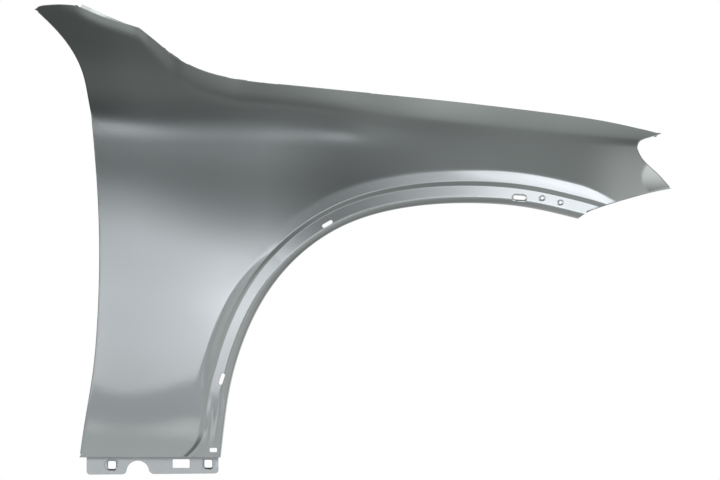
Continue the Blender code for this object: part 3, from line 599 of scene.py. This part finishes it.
def patch(bm, net):
    """Grid laid over a net of places, rows by columns."""
    rows, columns = net.shape[:2]
    made = bmesh.ops.create_grid(bm, x_segments=columns - 1, y_segments=rows - 1, size=1.0)["verts"]
    for v in made:
        i = round((v.co.y + 1.0) * 0.5 * (rows - 1))
        j = round((v.co.x + 1.0) * 0.5 * (columns - 1))
        v.co = Vector(net[i, j]) * MM


def edge_frame(p, n):
    """Direction out of the sheet, in its own plane, along a line of edge points."""
    t = np.gradient(p, axis=0)
    t /= np.linalg.norm(t, axis=1)[:, None]
    b = np.cross(n, t)
    return b / np.linalg.norm(b, axis=1)[:, None]


def fold_rows(p, b, way):
    """Rows of a fold from the sheet's own plane into another direction."""
    rows = [p - EDGE_RADIUS * b]
    for angle in BEND:
        a = math.radians(angle)
        rows.append(p - EDGE_RADIUS * (1 - math.sin(a)) * b + EDGE_RADIUS * (1 - math.cos(a)) * way)
    return rows


def turned_edge(line, outer, depth):
    """Rows of a plain return folded inboard along a line of edge points, without its two ends."""
    p = line[1:-1]
    way = np.array([0.0, 1.0, 0.0])
    rows = fold_rows(p, edge_frame(line, outer)[1:-1], way)
    rows += [p + (EDGE_RADIUS + (depth - EDGE_RADIUS) * t) * way for t in (0.5, 1.0)]
    return np.array(rows)


def pad_span(x, centre):
    """First and last column under a fixing pad."""
    return [int(np.argmin(np.abs(x - centre - side * PAD_HALF))) for side in (-1, 1)]


def hood_flange(line, outer):
    """Rows of the drop and shelf under the hood line and the cowl edge, without its two ends."""
    p = line[1:-1]
    n = outer[1:-1]
    b = edge_frame(line, outer)[1:-1]
    x = p[:, 0]
    share = smooth(x, *HOOD_TURN)
    drop = COWL_DROP + (HOOD_DROP - COWL_DROP) * share
    cowl = COWL_SHELF * (1.0 - 0.8 * smooth(x, *COWL_NARROW))
    shelf = cowl + (HOOD_SHELF - cowl) * share
    shelf = shelf * (0.35 + 0.65 * smooth(HOOD[-1][0] - x, 0.0, NOSE_TAPER))
    inboard = np.array([0.0, 1.0, 0.0])
    upright = b * np.array([1.0, 0.0, 1.0])
    upright /= np.linalg.norm(upright, axis=1)[:, None]
    turned = smooth(x, *COWL_TURN)[:, None]
    way = (1.0 - turned) * upright + turned * inboard
    way /= np.linalg.norm(way, axis=1)[:, None]
    foot = p - drop[:, None] * n
    for centre in PADS:
        first, last = pad_span(x, centre)
        inside = slice(first, last + 1)
        t = (x[inside] - x[first]) / (x[last] - x[first])
        foot[inside] = foot[first] + t[:, None] * (foot[last] - foot[first])
        way[inside] = inboard
        shelf[inside] = shelf[first]
    rows = fold_rows(p, b, -n)
    wall = rows[-1]
    rows += [wall + (foot - wall) * t for t in (0.5, 0.85, 1.0)]
    rows += [foot + shelf[:, None] * way * t for t in (0.08, 0.3, 0.6, 1.0)]
    return np.array(rows)


def band_net(s0):
    """Net of the arch zone, from its outer edge to the start of the lip."""
    band = []
    for d in band_rows(s0):
        point, s, normal = band_point(s0, d)
        band.append(np.column_stack([point[:, 0], band_depth(s, d, point, normal), point[:, 1]]))
    return np.array(band)


def lip_net(s0, band):
    """Net of the rolled lip, which runs on from the recess."""
    lip = [band[-1]]
    start = band[-1][:, 1]
    slope = (start - band[-2][:, 1]) / np.linalg.norm(band[-1][:, ::2] - band[-2][:, ::2], axis=1)
    tight = lip_tightness(s0)
    low_leg = 0.7 * (1.0 - along_arch(s0, *LEG_LIP_FADE))
    for d, depth in LIP_SECTION:
        depth = depth - low_leg * min(depth, LIP_FLAT_DEPTH)
        if d > LIP_BEND:
            d, depth = LIP_BEND + (d - LIP_BEND) * tight, depth * tight
        else:
            depth = depth - LIP_BEND_DEPTH * (1.0 - tight)
        point, _, _ = band_point(s0, d)
        run = np.minimum(lip_start(s0) - d, LIP_EASE)
        eased = slope * (run - run ** 2 / (2.0 * LIP_EASE))
        lip.append(np.column_stack([point[:, 0], start + eased + depth, point[:, 1]]))
    for t in (0.5, 1.0):
        lip.append(lip[-1].copy())
        lip[-1][:, 1] += (start + LIP_DEPTH - lip[-1][:, 1]) * t
    return np.array(lip)


def skin_net(s0, edge, band):
    """Net of the skin between the arch zone and the door edge, crease and lamp edge."""
    low, _, _ = band_point(s0, BAND_ZONE)
    across = np.linspace(low[0, 0], DOOR_LOW[0][0], SKIN_ROWS + 1)
    left = np.column_stack([across, np.full(SKIN_ROWS + 1, BOTTOM_Z)])
    fine = BUMPER_CURVE.fractions(np.linspace(0.0, 1.0, FINE))
    start = np.argmin(np.linalg.norm(fine - low[-1], axis=1)) / (FINE - 1)
    right = BUMPER_CURVE.fractions(np.linspace(start, 1.0, SKIN_ROWS + 1))
    right[0] = low[-1]
    skin = on_skin(coons(low, edge, left, right))
    skin[0] = band[0]
    return skin


def top_net(crease, seam):
    """Net of the skin above the crease, joined to the row of the skin below it."""
    sweep = TAIL_CELLS - TAIL_COLUMNS - COWL_COLUMNS
    spans = ((TAIL, TAIL_COLUMNS), (COWL, COWL_COLUMNS), (SWEEP, sweep), (HOOD, HOOD_CELLS))
    high = [Curve(TAIL).fractions([0.0])]
    high += [Curve(points).fractions(np.arange(1, count + 1) / count) for points, count in spans]
    side = np.linspace(0, 1, TOP_ROWS + 1)
    door, lamp = (Curve(points).fractions(side) for points in (DOOR_HIGH, LAMP_HIGH))
    top = on_skin(coons(crease, np.vstack(high), door, lamp))
    top[0] = seam
    return top


def fold_edges(band, skin, top, corner, notch):
    """Returns along the outer edges and the hood-line flange. The nets end where each fold starts."""
    n_band, n_skin, n_top = normals(band), normals(skin), normals(top)

    line = np.vstack([skin[-1][:corner + 1], top[1:, 0]])
    outer = np.vstack([n_skin[-1][:corner + 1], n_top[1:, 0]])
    door = turned_edge(line, outer, DOOR_RETURN)
    skin[-1][1:corner + 1] = door[0][:corner]
    top[0][0] = door[0][corner - 1]
    top[1:-1, 0] = door[0][corner:]

    tail = turned_edge(top[-1][:TAIL_COLUMNS + 1], n_top[-1][:TAIL_COLUMNS + 1], TAIL_RETURN)
    top[-1][1:TAIL_COLUMNS] = tail[0]

    flange = hood_flange(top[-1][TAIL_COLUMNS:], n_top[-1][TAIL_COLUMNS:])
    top[-1][TAIL_COLUMNS + 1:-1] = flange[0]

    line = np.vstack([top[::-1][:, -1], skin[-1][notch + 1:]])
    outer = np.vstack([n_top[::-1][:, -1], n_skin[-1][notch + 1:]])
    lamp = turned_edge(line, outer, FRONT_RETURN)
    top[1:-1, -1] = lamp[0][:TOP_ROWS - 1][::-1]
    top[0][-1] = lamp[0][TOP_ROWS - 1]
    skin[-1][notch] = lamp[0][TOP_ROWS - 1]
    skin[-1][notch + 1:-1] = lamp[0][TOP_ROWS:]

    line = np.vstack([skin[::-1][:, -1], band[1:, -1]])
    outer = np.vstack([n_skin[::-1][:, -1], n_band[1:, -1]])
    bumper = turned_edge(line, outer, FRONT_RETURN)
    skin[1:-1, -1] = bumper[0][:SKIN_ROWS - 1][::-1]
    skin[0][-1] = bumper[0][SKIN_ROWS - 1]
    band[:-1, -1] = bumper[0][SKIN_ROWS - 1:]
    return [door, tail, flange, lamp, bumper], flange


def sill_net(band, skin):
    """Net of the fold under the skin's bottom edge and of the sill tab."""
    base = np.vstack([band[::-1][:, 0], skin[1:, 0]])[::-1]
    up = base.copy()
    up[:, 2] += SILL_RADIUS
    rows = [up]
    for angle in BEND:
        a = math.radians(angle)
        inboard = base[:, 1] + SILL_RADIUS * (1 - math.cos(a))
        rows.append(np.column_stack([base[:, 0], inboard, base[:, 2] + SILL_RADIUS * (1 - math.sin(a))]))
    band[:, 0] = up[::-1][:len(band)][::-1]
    skin[:, 0] = up[::-1][len(band) - 1:]
    x = TAB_LEFT + (base[:, 0] - base[0, 0]) * (TAB_RIGHT - TAB_LEFT) / (base[-1, 0] - base[0, 0])
    level = np.ones(len(x))
    middle = 0.5 * (rows[-1][:, 1] - SHEET - TAB_RADIUS)
    rows.append(np.column_stack([0.5 * (x + base[:, 0]), middle, TAB_TOP * level]))
    for angle in (0.0, 30.0, 60.0, 90.0):
        a = math.radians(angle)
        y = -SHEET - TAB_RADIUS * (1 - math.sin(a))
        z = TAB_TOP - TAB_RADIUS * (1 - math.cos(a))
        rows.append(np.column_stack([x, y * level, z * level]))
    for t in np.linspace(0.0, 1.0, 9)[1:]:
        low = TAB_BOTTOM + TAB_RISE * x
        z = TAB_TOP - TAB_RADIUS + (low - TAB_TOP + TAB_RADIUS) * t
        rows.append(np.column_stack([x, -SHEET * level, z]))
    return np.array(rows)


def pressing():
    """Outer side of the sheet as one welded net of patches."""
    s0, edge, corner, notch = columns()
    band = band_net(s0)
    lip = lip_net(s0, band)
    skin = skin_net(s0, edge, band)
    top = top_net(edge[corner:notch + 1], skin[-1][corner:notch + 1])
    folds, flange = fold_edges(band, skin, top, corner, notch)
    sill = sill_net(band, skin)
    lip[0] = band[-1]
    bm = bmesh.new()
    for net in (band, lip, skin, top, *folds, sill):
        patch(bm, net)
    bmesh.ops.remove_doubles(bm, verts=bm.verts, dist=0.00002)
    bmesh.ops.recalc_face_normals(bm, faces=bm.faces)
    middle = min(bm.faces, key=lambda f: (f.calc_center_median() - Vector((0.0, -0.03, 0.3))).length)
    if middle.normal.y > 0:
        bmesh.ops.reverse_faces(bm, faces=bm.faces)
    return bm, flange


def block(bm, cx, cz, length, width, y=PANEL_CUT):
    """Plain box through the side of the car."""
    made = bmesh.ops.create_cube(bm, size=1.0)["verts"]
    place = Matrix.Translation(Vector((cx, 0.5 * (y[0] + y[1]), cz)) * MM)
    bmesh.ops.scale(bm, vec=Vector((length, y[1] - y[0], width)) * MM, verts=made)
    bmesh.ops.transform(bm, matrix=place, verts=made)
    return made


def drum(bm, cx, cz, radius, y=PANEL_CUT, count=64):
    """Round bar through the side of the car."""
    turn = Matrix.Rotation(math.radians(90.0), 4, "X")
    place = Matrix.Translation(Vector((cx, 0.5 * (y[0] + y[1]), cz)) * MM) @ turn
    bmesh.ops.create_cone(
        bm, cap_ends=True, segments=count, radius1=radius * MM, radius2=radius * MM,
        depth=(y[1] - y[0]) * MM, matrix=place,
    )


def tab_cutters():
    """Cutters of the notch below the tab and of its rounded corners."""
    deep = 20.0
    centre = NOTCH_TOP - NOTCH_RADIUS + TAB_RISE * NOTCH_X
    bottom = TAB_BOTTOM + TAB_RISE * NOTCH_X
    blocks = bmesh.new()
    rounds = bmesh.new()
    for side, flare in NOTCH_FLARE:
        reach = math.sqrt(NOTCH_RADIUS ** 2 - (bottom + flare - centre) ** 2) + flare
        block(blocks, NOTCH_X + side * 0.52 * reach, bottom + flare - 0.5 * deep, 0.96 * reach, deep, TAB_CUT)
        drum(rounds, NOTCH_X + side * reach, bottom + flare, flare, ROUND_CUT)
    for side, end in ((-1, TAB_LEFT), (1, TAB_RIGHT)):
        low = TAB_BOTTOM + TAB_RISE * end + TAB_CORNER
        block(blocks, end + side * (0.5 * deep - TAB_CORNER), low - 0.5 * deep, deep, deep, TAB_CUT)
        drum(rounds, end - side * TAB_CORNER, low, TAB_CORNER, ROUND_CUT)
    tool = to_object("tab_corners", blocks)
    cut(tool, to_object("tab_rounds", rounds))
    notch = bmesh.new()
    drum(notch, NOTCH_X, centre, NOTCH_RADIUS, TAB_CUT, 96)
    return tool, to_object("notch", notch)


def round_edges(bm, made, radius, axis, depth):
    """Round the edges of a box that run along one axis, and give back all its corners."""
    edges = {e for v in made for e in v.link_edges}
    upright = [e for e in edges if abs(e.verts[0].co[axis] - e.verts[1].co[axis]) > 0.5 * depth * MM]
    shaped = bmesh.ops.bevel(
        bm, geom=upright, offset=radius * 0.999 * MM, offset_type="OFFSET", affect="EDGES",
        segments=6, profile=0.5, material=-1, clamp_overlap=False,
    )
    return list({v for v in made if v.is_valid} | {v for f in shaped["faces"] for v in f.verts})


def cutter(bm, cx, cz, length, width, radius, slope=0.0, y=PANEL_CUT):
    """Block with rounded upright edges, for a hole through the side of the car."""
    made = block(bm, 0.0, 0.0, length, width, y)
    whole = round_edges(bm, made, radius, 1, y[1] - y[0])
    place = Matrix.Translation(Vector((cx, 0.0, cz)) * MM) @ Matrix.Rotation(-math.radians(slope), 4, "Y")
    bmesh.ops.transform(bm, matrix=place, verts=whole)


def panel_cutters(flange):
    """Cutters of all the holes, those of the hood-line pads square to the shelf."""
    bm = bmesh.new()
    for cx, cz, length, width, slope in BAND_SLOTS:
        cutter(bm, cx, cz, length, width, width / 2, slope)
    for cx, cz, wide in BAND_ROUNDS:
        drum(bm, cx, cz, wide / 2, count=32)
    cutter(bm, *LEG_HOLE, HOLE_CORNER)
    for side in (-1, 1):
        cutter(bm, side * SQUARE_X, side * SQUARE_TILT, SQUARE_SIDE, SQUARE_SIDE, SQUARE_CORNER, y=TAB_CUT)
    cutter(bm, *TAB_SLOT, HOLE_CORNER, y=TAB_CUT)
    radius = BOLT_HOLE / 2 * MM
    foot, end = flange[-5], flange[-1]
    for centre in PADS:
        first, last = pad_span(foot[:, 0], centre)
        c = (foot[first] + foot[last] + end[first] + end[last]) / 4.0
        along = foot[last] - foot[first]
        n = np.cross(along, end[first] - foot[first])
        turn = Vector(n / np.linalg.norm(n)).to_track_quat("Z", "Y").to_matrix().to_4x4()
        bmesh.ops.create_cone(
            bm, cap_ends=True, segments=32, radius1=radius, radius2=radius, depth=12 * MM,
            matrix=Matrix.Translation(Vector(c) * MM) @ turn,
        )
    bmesh.ops.recalc_face_normals(bm, faces=bm.faces)
    return to_object("cutter", bm)


def rounded(bm, place, length, width, radius, low, high, taper):
    """Rounded bar standing on a place of the sheet, its lower end smaller by the taper."""
    made = bmesh.ops.create_cube(bm, size=1.0)["verts"]
    bmesh.ops.scale(bm, vec=Vector((length, width, high - low)) * MM, verts=made)
    whole = round_edges(bm, made, radius, 2, high - low)
    foot = [v for v in whole if v.co.z < 0.0]
    bmesh.ops.scale(bm, vec=Vector(((length - taper) / length, (width - taper) / width, 1.0)), verts=foot)
    lift = Matrix.Translation((0.0, 0.0, 0.5 * (low + high) * MM))
    bmesh.ops.transform(bm, matrix=place @ lift, verts=whole)


def press_rims(panel):
    """Sink the sheet round the holes that have a pressed rim."""
    pads = bmesh.new()
    dishes = bmesh.new()
    for cx, cz, length, width, radius, slope, border in RIMS:
        _, at, up, _ = panel.ray_cast(Vector((cx, -150.0, cz)) * MM, Vector((0.0, 1.0, 0.0)))
        a = math.radians(slope)
        along = Vector((math.cos(a), 0.0, math.sin(a)))
        along = (along - up * along.dot(up)).normalized()
        place = Matrix((along, up.cross(along), up)).transposed().to_4x4()
        place.translation = at
        sink = (border - RIM_FLOOR) * RIM_SLOPE
        reach = border + RIM_MARGIN
        size = (length + 2.0 * reach, width + 2.0 * reach, radius + reach)
        rounded(pads, place, *size, -sink - SHEET, PAD_TOP, 0.0)
        reach = border + RIM_ABOVE / RIM_SLOPE
        size = (length + 2.0 * reach, width + 2.0 * reach, radius + reach)
        rounded(dishes, place, *size, -sink, RIM_ABOVE, 2.0 * (sink + RIM_ABOVE) / RIM_SLOPE)
    bmesh.ops.recalc_face_normals(pads, faces=pads.faces)
    bmesh.ops.recalc_face_normals(dishes, faces=dishes.faces)
    cut(panel, to_object("pads", pads), "UNION")
    cut(panel, to_object("dishes", dishes))


def to_object(name, bm):
    mesh = bpy.data.meshes.new(name)
    bm.to_mesh(mesh)
    bm.free()
    obj = bpy.data.objects.new(name, mesh)
    bpy.context.scene.collection.objects.link(obj)
    return obj


def apply_all(obj):
    graph = bpy.context.evaluated_depsgraph_get()
    mesh = bpy.data.meshes.new_from_object(obj.evaluated_get(graph))
    obj.modifiers.clear()
    obj.data = mesh


def cut(obj, tool, operation="DIFFERENCE"):
    mod = obj.modifiers.new("cut", "BOOLEAN")
    mod.operation = operation
    mod.solver = "EXACT"
    mod.object = tool
    apply_all(obj)
    bpy.data.objects.remove(tool)


def fender():
    """The whole pressed panel: sheet, pressed rims, holes and paint."""
    bm, flange = pressing()
    panel = to_object("fender_skin", bm)
    solid = panel.modifiers.new("sheet", "SOLIDIFY")
    solid.thickness = SHEET * MM
    solid.offset = -1.0
    apply_all(panel)
    press_rims(panel)
    for tool in (panel_cutters(flange), *tab_cutters()):
        cut(panel, tool)
    inner = panel.data.attributes.new("inner_side", "FLOAT", "FACE")
    inner.data.foreach_set("value", [float(f.normal.y > INNER_TILT) for f in panel.data.polygons])
    panel.data.materials.clear()
    panel.data.materials.append(silver_paint())
    panel.data.shade_smooth()
    panel.data.set_sharp_from_angle(angle=math.radians(SHARP_ANGLE))
    even = panel.modifiers.new("even_shading", "WEIGHTED_NORMAL")
    even.keep_sharp = True
    even.weight = 50
    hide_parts("fender_panel")
    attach(panel, "root")
    return panel


class Level:
    """Value or colour worked out by shader nodes, to be added and multiplied like a number."""

    def __init__(self, tree, socket):
        self.tree = tree
        self.socket = socket

    def into(self, socket):
        self.tree.links.new(self.socket, socket)

    def maths(self, operation, first, second=0.0):
        node = self.tree.nodes.new("ShaderNodeMath")
        node.operation = operation
        for value, socket in zip((first, second), node.inputs):
            if isinstance(value, Level):
                value.into(socket)
            else:
                socket.default_value = value
        return Level(self.tree, node.outputs[0])

    def __add__(self, other):
        return self.maths("ADD", self, other)

    def __sub__(self, other):
        return self.maths("SUBTRACT", self, other)

    def __rsub__(self, other):
        return self.maths("SUBTRACT", other, self)

    def __mul__(self, other):
        return self.maths("MULTIPLY", self, other)

    def ranged(self, low, high, start=0.0, end=1.0, kind="LINEAR"):
        """Level that runs from start to end while this one runs from low to high."""
        node = self.tree.nodes.new("ShaderNodeMapRange")
        node.interpolation_type = kind
        self.into(node.inputs["Value"])
        for name, number in (("From Min", low), ("From Max", high), ("To Min", start), ("To Max", end)):
            node.inputs[name].default_value = number
        return Level(self.tree, node.outputs["Result"])

    def rise(self, low, high):
        return self.ranged(low, high, kind="SMOOTHSTEP")

    def fall(self, low, high):
        return 1.0 - self.rise(low, high)

    def between(self, low, low_full, high_full, high):
        return self.rise(low, low_full) * self.fall(high_full, high)

    def factor(self, change):
        """Factor that is 1 where this level is 0, and changed by the given share where it is 1."""
        return self * change + 1.0

    def noise(self, scale, detail):
        node = self.tree.nodes.new("ShaderNodeTexNoise")
        node.inputs["Scale"].default_value = scale
        node.inputs["Detail"].default_value = detail
        self.into(node.inputs["Vector"])
        return Level(self.tree, node.outputs["Fac"])

    def split(self):
        node = self.tree.nodes.new("ShaderNodeSeparateXYZ")
        self.into(node.inputs[0])
        return [Level(self.tree, socket) for socket in node.outputs]

    def tinted(self, colour):
        node = self.tree.nodes.new("ShaderNodeVectorMath")
        node.operation = "SCALE"
        node.inputs[0].default_value = colour
        self.into(node.inputs["Scale"])
        return Level(self.tree, node.outputs[0])

    def with_colour(self, other):
        """Sum of two colours."""
        node = self.tree.nodes.new("ShaderNodeVectorMath")
        self.into(node.inputs[0])
        other.into(node.inputs[1])
        return Level(self.tree, node.outputs[0])


def places(tree, kind):
    """Coordinates that a finish or a light is laid out on."""
    return Level(tree, tree.nodes.new("ShaderNodeTexCoord").outputs[kind])


def silver_paint():
    """Silver paint with fine flake, thinner on the inner side, and darker and duller on the sill tab as
    painted shade.
    """
    mat = bpy.data.materials.new("silver_paint")
    mat.use_nodes = True
    tree = mat.node_tree
    shader = tree.nodes["Principled BSDF"]
    shader.inputs["Metallic"].default_value = 1.0
    shader.inputs["Coat Roughness"].default_value = COAT_ROUGHNESS
    shader.inputs["Coat IOR"].default_value = COAT_IOR
    where = places(tree, "Object")
    # Painted shade: the sill tab gets darker, duller paint; the inner side gets thinner paint
    tab_shade_mask = where.split()[2].ranged(*TAB_SHADE_FADE, 0.0, TAB_SHADE)
    inner = tree.nodes.new("ShaderNodeAttribute")
    inner.attribute_name = "inner_side"
    tab_shade_and_thin_paint = tab_shade_mask.maths("MAXIMUM", tab_shade_mask, Level(tree, inner.outputs["Fac"]))
    flake = where.noise(*FLAKE).ranged(*NOISE_SPAN, 1.0 - FLAKE_SHARE, 1.0 + FLAKE_SHARE)
    cloud = where.noise(*CLOUD).ranged(*NOISE_SPAN, 1.0 - CLOUD_SHARE, 1.0 + CLOUD_SHARE)
    shine = flake * cloud * tab_shade_and_thin_paint.ranged(0.0, 1.0, 1.0, TAB_SHADE_AND_THIN_SHINE)
    shine.tinted(PAINT).into(shader.inputs["Base Color"])
    rough = where.noise(*HAZE).ranged(*NOISE_SPAN, *ROUGHNESS) + tab_shade_and_thin_paint.ranged(0.0, 1.0, 0.0, TAB_AND_INNER_ROUGHER)
    rough.into(shader.inputs["Roughness"])
    tab_shade_and_thin_paint.ranged(0.0, 1.0, 1.0, TAB_AND_INNER_COAT).into(shader.inputs["Coat Weight"])
    peel = tree.nodes.new("ShaderNodeBump")
    peel.inputs["Strength"].default_value = PEEL_STRENGTH
    peel.inputs["Distance"].default_value = PEEL_DEPTH
    where.noise(*PEEL).into(peel.inputs["Height"])
    tree.links.new(peel.outputs["Normal"], shader.inputs["Coat Normal"])
    return mat


# The lights lie by two angles in degrees. Side is positive towards the front of the car. Pitch is 0 straight
# out from the panel, 90 overhead and 180 behind it, and negative below.


def key_light(side, pitch, above):
    """Large light in front of the panel, brightest just behind its middle."""
    across = side.between(-19.0, -4.0, -1.0, 7.0) * 3.3 + side.rise(0.0, 6.0) * 0.7 + 1.05
    across = across * side.rise(22.0, 34.0).factor(-0.75)
    across = across * (pitch.fall(-5.0, 1.0) * side.fall(-12.0, -8.0)).factor(0.32)
    across = across * side.fall(-12.0, -7.0).factor(-0.16)
    across = across * (side.rise(-10.5, -7.0) * pitch.fall(6.0, 12.0)).factor(0.09)
    key = above * pitch.fall(12.0, 21.0) * across * (pitch.rise(1.0, 9.0) * side.fall(0.0, 6.0)).factor(-0.2)
    limit = side.maths("MINIMUM", side, 9.0) * 0.45 + side.rise(8.0, 14.0) * -6.3 - 1.25
    limit = limit + side.between(0.5, 2.5, 4.0, 6.5) * 6.5
    key = key * (side.rise(-7.0, -2.0) * (pitch - limit).fall(-1.0, 3.0)).factor(-0.8)
    climbing = pitch + side * 1.2
    key = key * (side.rise(1.0, 5.0) * climbing.fall(15.0, 20.0)).factor(-0.65)
    crest = side.between(5.5, 9.0, 18.0, 30.0) * climbing.rise(18.0, 22.0) * pitch.fall(9.5, 16.0)
    streak = side.between(9.0, 13.0, 19.0, 24.0) * pitch.between(-1.0, 3.0, 4.5, 7.5)
    return key + crest * 2.8 + streak * 1.5


def low_strip(side, pitch):
    """Narrow bright strip just below the key light."""
    strip = pitch.rise(-10.6, -10.2) * (pitch - side * 0.3).fall(-6.35, -6.05) * side.rise(-16.0, -10.0)
    return strip * (side.fall(-5.0, 3.0) * 1.35 + 0.75)


def front_wing(side, pitch):
    """Light far round to the front, for the nose."""
    wing = (pitch - side * 0.5).fall(18.0, 36.0) * pitch.rise(8.0, 16.0) * 1.3
    return wing * (side.rise(22.0, 36.0) + side.rise(43.0, 49.0) * 1.35)


def overhead(side, pitch):
    """Light from above and behind, and a faint band below it."""
    over = pitch.rise(52.0, 106.0) * (side.between(-5.0, 1.0, 4.0, 12.0) * 1.9 + 0.68)
    band = side.fall(-2.0, 8.0) * pitch.between(39.0, 44.0, 47.0, 53.0) * 0.26
    behind = pitch.maths("ABSOLUTE", pitch).rise(110.0, 150.0) * side.rise(10.0, 40.0)
    return over + band + behind


def room_light(side, pitch):
    """Faint light of the room all round, a little stronger low in the sky."""
    low_sky = pitch.between(21.0, 27.0, 36.0, 44.0) * side.between(-6.0, 0.0, 8.0, 14.0)
    return side.rise(-12.0, 18.0) * side.fall(10.0, 50.0) * 0.7 + low_sky * 0.2 + 0.12


def ground_light(side, pitch, above):
    """Light thrown up by the floor, up to where the key light starts."""
    ground = (pitch.fall(-12.0, -8.5) * 1.26 + 0.3) * pitch.fall(-60.0, -30.0).factor(-0.4) * (1.0 - above)
    ground = ground * side.fall(-60.0, -20.0).factor(-0.6)
    ground = ground * pitch.fall(-64.0, -44.0).factor(side.fall(-1.0, 9.0) * 0.5 - 0.2)
    return ground * (side.between(30.0, 40.0, 46.0, 54.0) * pitch.fall(-38.0, -26.0)).factor(-0.24)


def rear_glow(side, pitch):
    """Bright upright light towards the rear, for the door edge."""
    return side.between(-32.0, -27.0, -24.0, -19.0) * pitch.between(-6.0, 2.0, 18.0, 26.0) * 6.0


def studio():
    """White surround for the camera and one soft light round the panel."""
    world = bpy.data.worlds.new("studio")
    bpy.context.scene.world = world
    world.use_nodes = True
    tree = world.node_tree
    tree.nodes.clear()
    x, y, z = places(tree, "Generated").split()
    pitch = z.maths("ARCTAN2", z, y * -1.0) * math.degrees(1.0)
    side = x.maths("ARCSINE", x) * math.degrees(1.0)
    # The key light ends on a line that climbs a little from the rear forward
    leaned = pitch - (side.maths("MINIMUM", side, -7.0) + 11.0) * 0.5
    above = leaned.rise(-7.2, -6.5)
    lights = (
        key_light(side, pitch, above).tinted((1.01, 1.0, 1.06)),
        low_strip(side, pitch).tinted((1.0, 1.0, 1.0)),
        front_wing(side, pitch).tinted((1.0, 1.0, 0.98)),
        overhead(side, pitch).tinted((0.97, 1.0, 0.94)),
        (room_light(side, pitch) * above).tinted((0.98, 1.0, 1.0)),
        ground_light(side, pitch, above).tinted((1.0, 1.0, 1.0)),
        rear_glow(side, pitch).tinted((1.0, 1.0, 1.0)),
    )
    total = lights[0]
    for each in lights[1:]:
        total = total.with_colour(each)
    light = tree.nodes.new("ShaderNodeBackground")
    total.into(light.inputs["Color"])
    white = tree.nodes.new("ShaderNodeBackground")
    white.inputs["Color"].default_value = (1.0, 1.0, 1.0, 1.0)
    white.inputs["Strength"].default_value = 1.0
    path = tree.nodes.new("ShaderNodeLightPath")
    mix = tree.nodes.new("ShaderNodeMixShader")
    tree.links.new(path.outputs["Is Camera Ray"], mix.inputs[0])
    tree.links.new(light.outputs[0], mix.inputs[1])
    tree.links.new(white.outputs[0], mix.inputs[2])
    out = tree.nodes.new("ShaderNodeOutputWorld")
    tree.links.new(mix.outputs[0], out.inputs[0])


def floor():
    """Plain pale floor just under the sill tab."""
    bm = bmesh.new()
    place = Matrix.Translation((0.3, 0.0, CAD_BOX[0].z - FLOOR_GAP))
    bmesh.ops.create_grid(bm, x_segments=1, y_segments=1, size=FLOOR_SIZE, matrix=place)
    ground = to_object("floor", bm)
    mat = bpy.data.materials.new("pale_floor")
    mat.use_nodes = True
    tree = mat.node_tree
    shader = tree.nodes["Principled BSDF"]
    shader.inputs["Roughness"].default_value = 0.8
    tone = places(tree, "Object").noise(6.0, 6.0).ranged(0.0, 1.0, *FLOOR_TONE)
    tone.into(shader.inputs["Base Color"])
    ground.data.materials.append(mat)
    ground.visible_glossy = False


def camera():
    """Camera square on to the side of the car, as in the photograph."""
    data = bpy.data.cameras.new("camera")
    data.type = "ORTHO"
    data.ortho_scale = VIEW_WIDTH
    data.clip_end = 5.0 * VIEW_DISTANCE
    cam = bpy.data.objects.new("camera", data)
    cam.location = (VIEW_X, -VIEW_DISTANCE, VIEW_Z)
    cam.rotation_euler = (math.radians(90.0), 0.0, 0.0)
    bpy.context.scene.collection.objects.link(cam)
    bpy.context.scene.camera = cam


bpy.context.scene.view_settings.view_transform = "Standard"
fender()
floor()
studio()
camera()
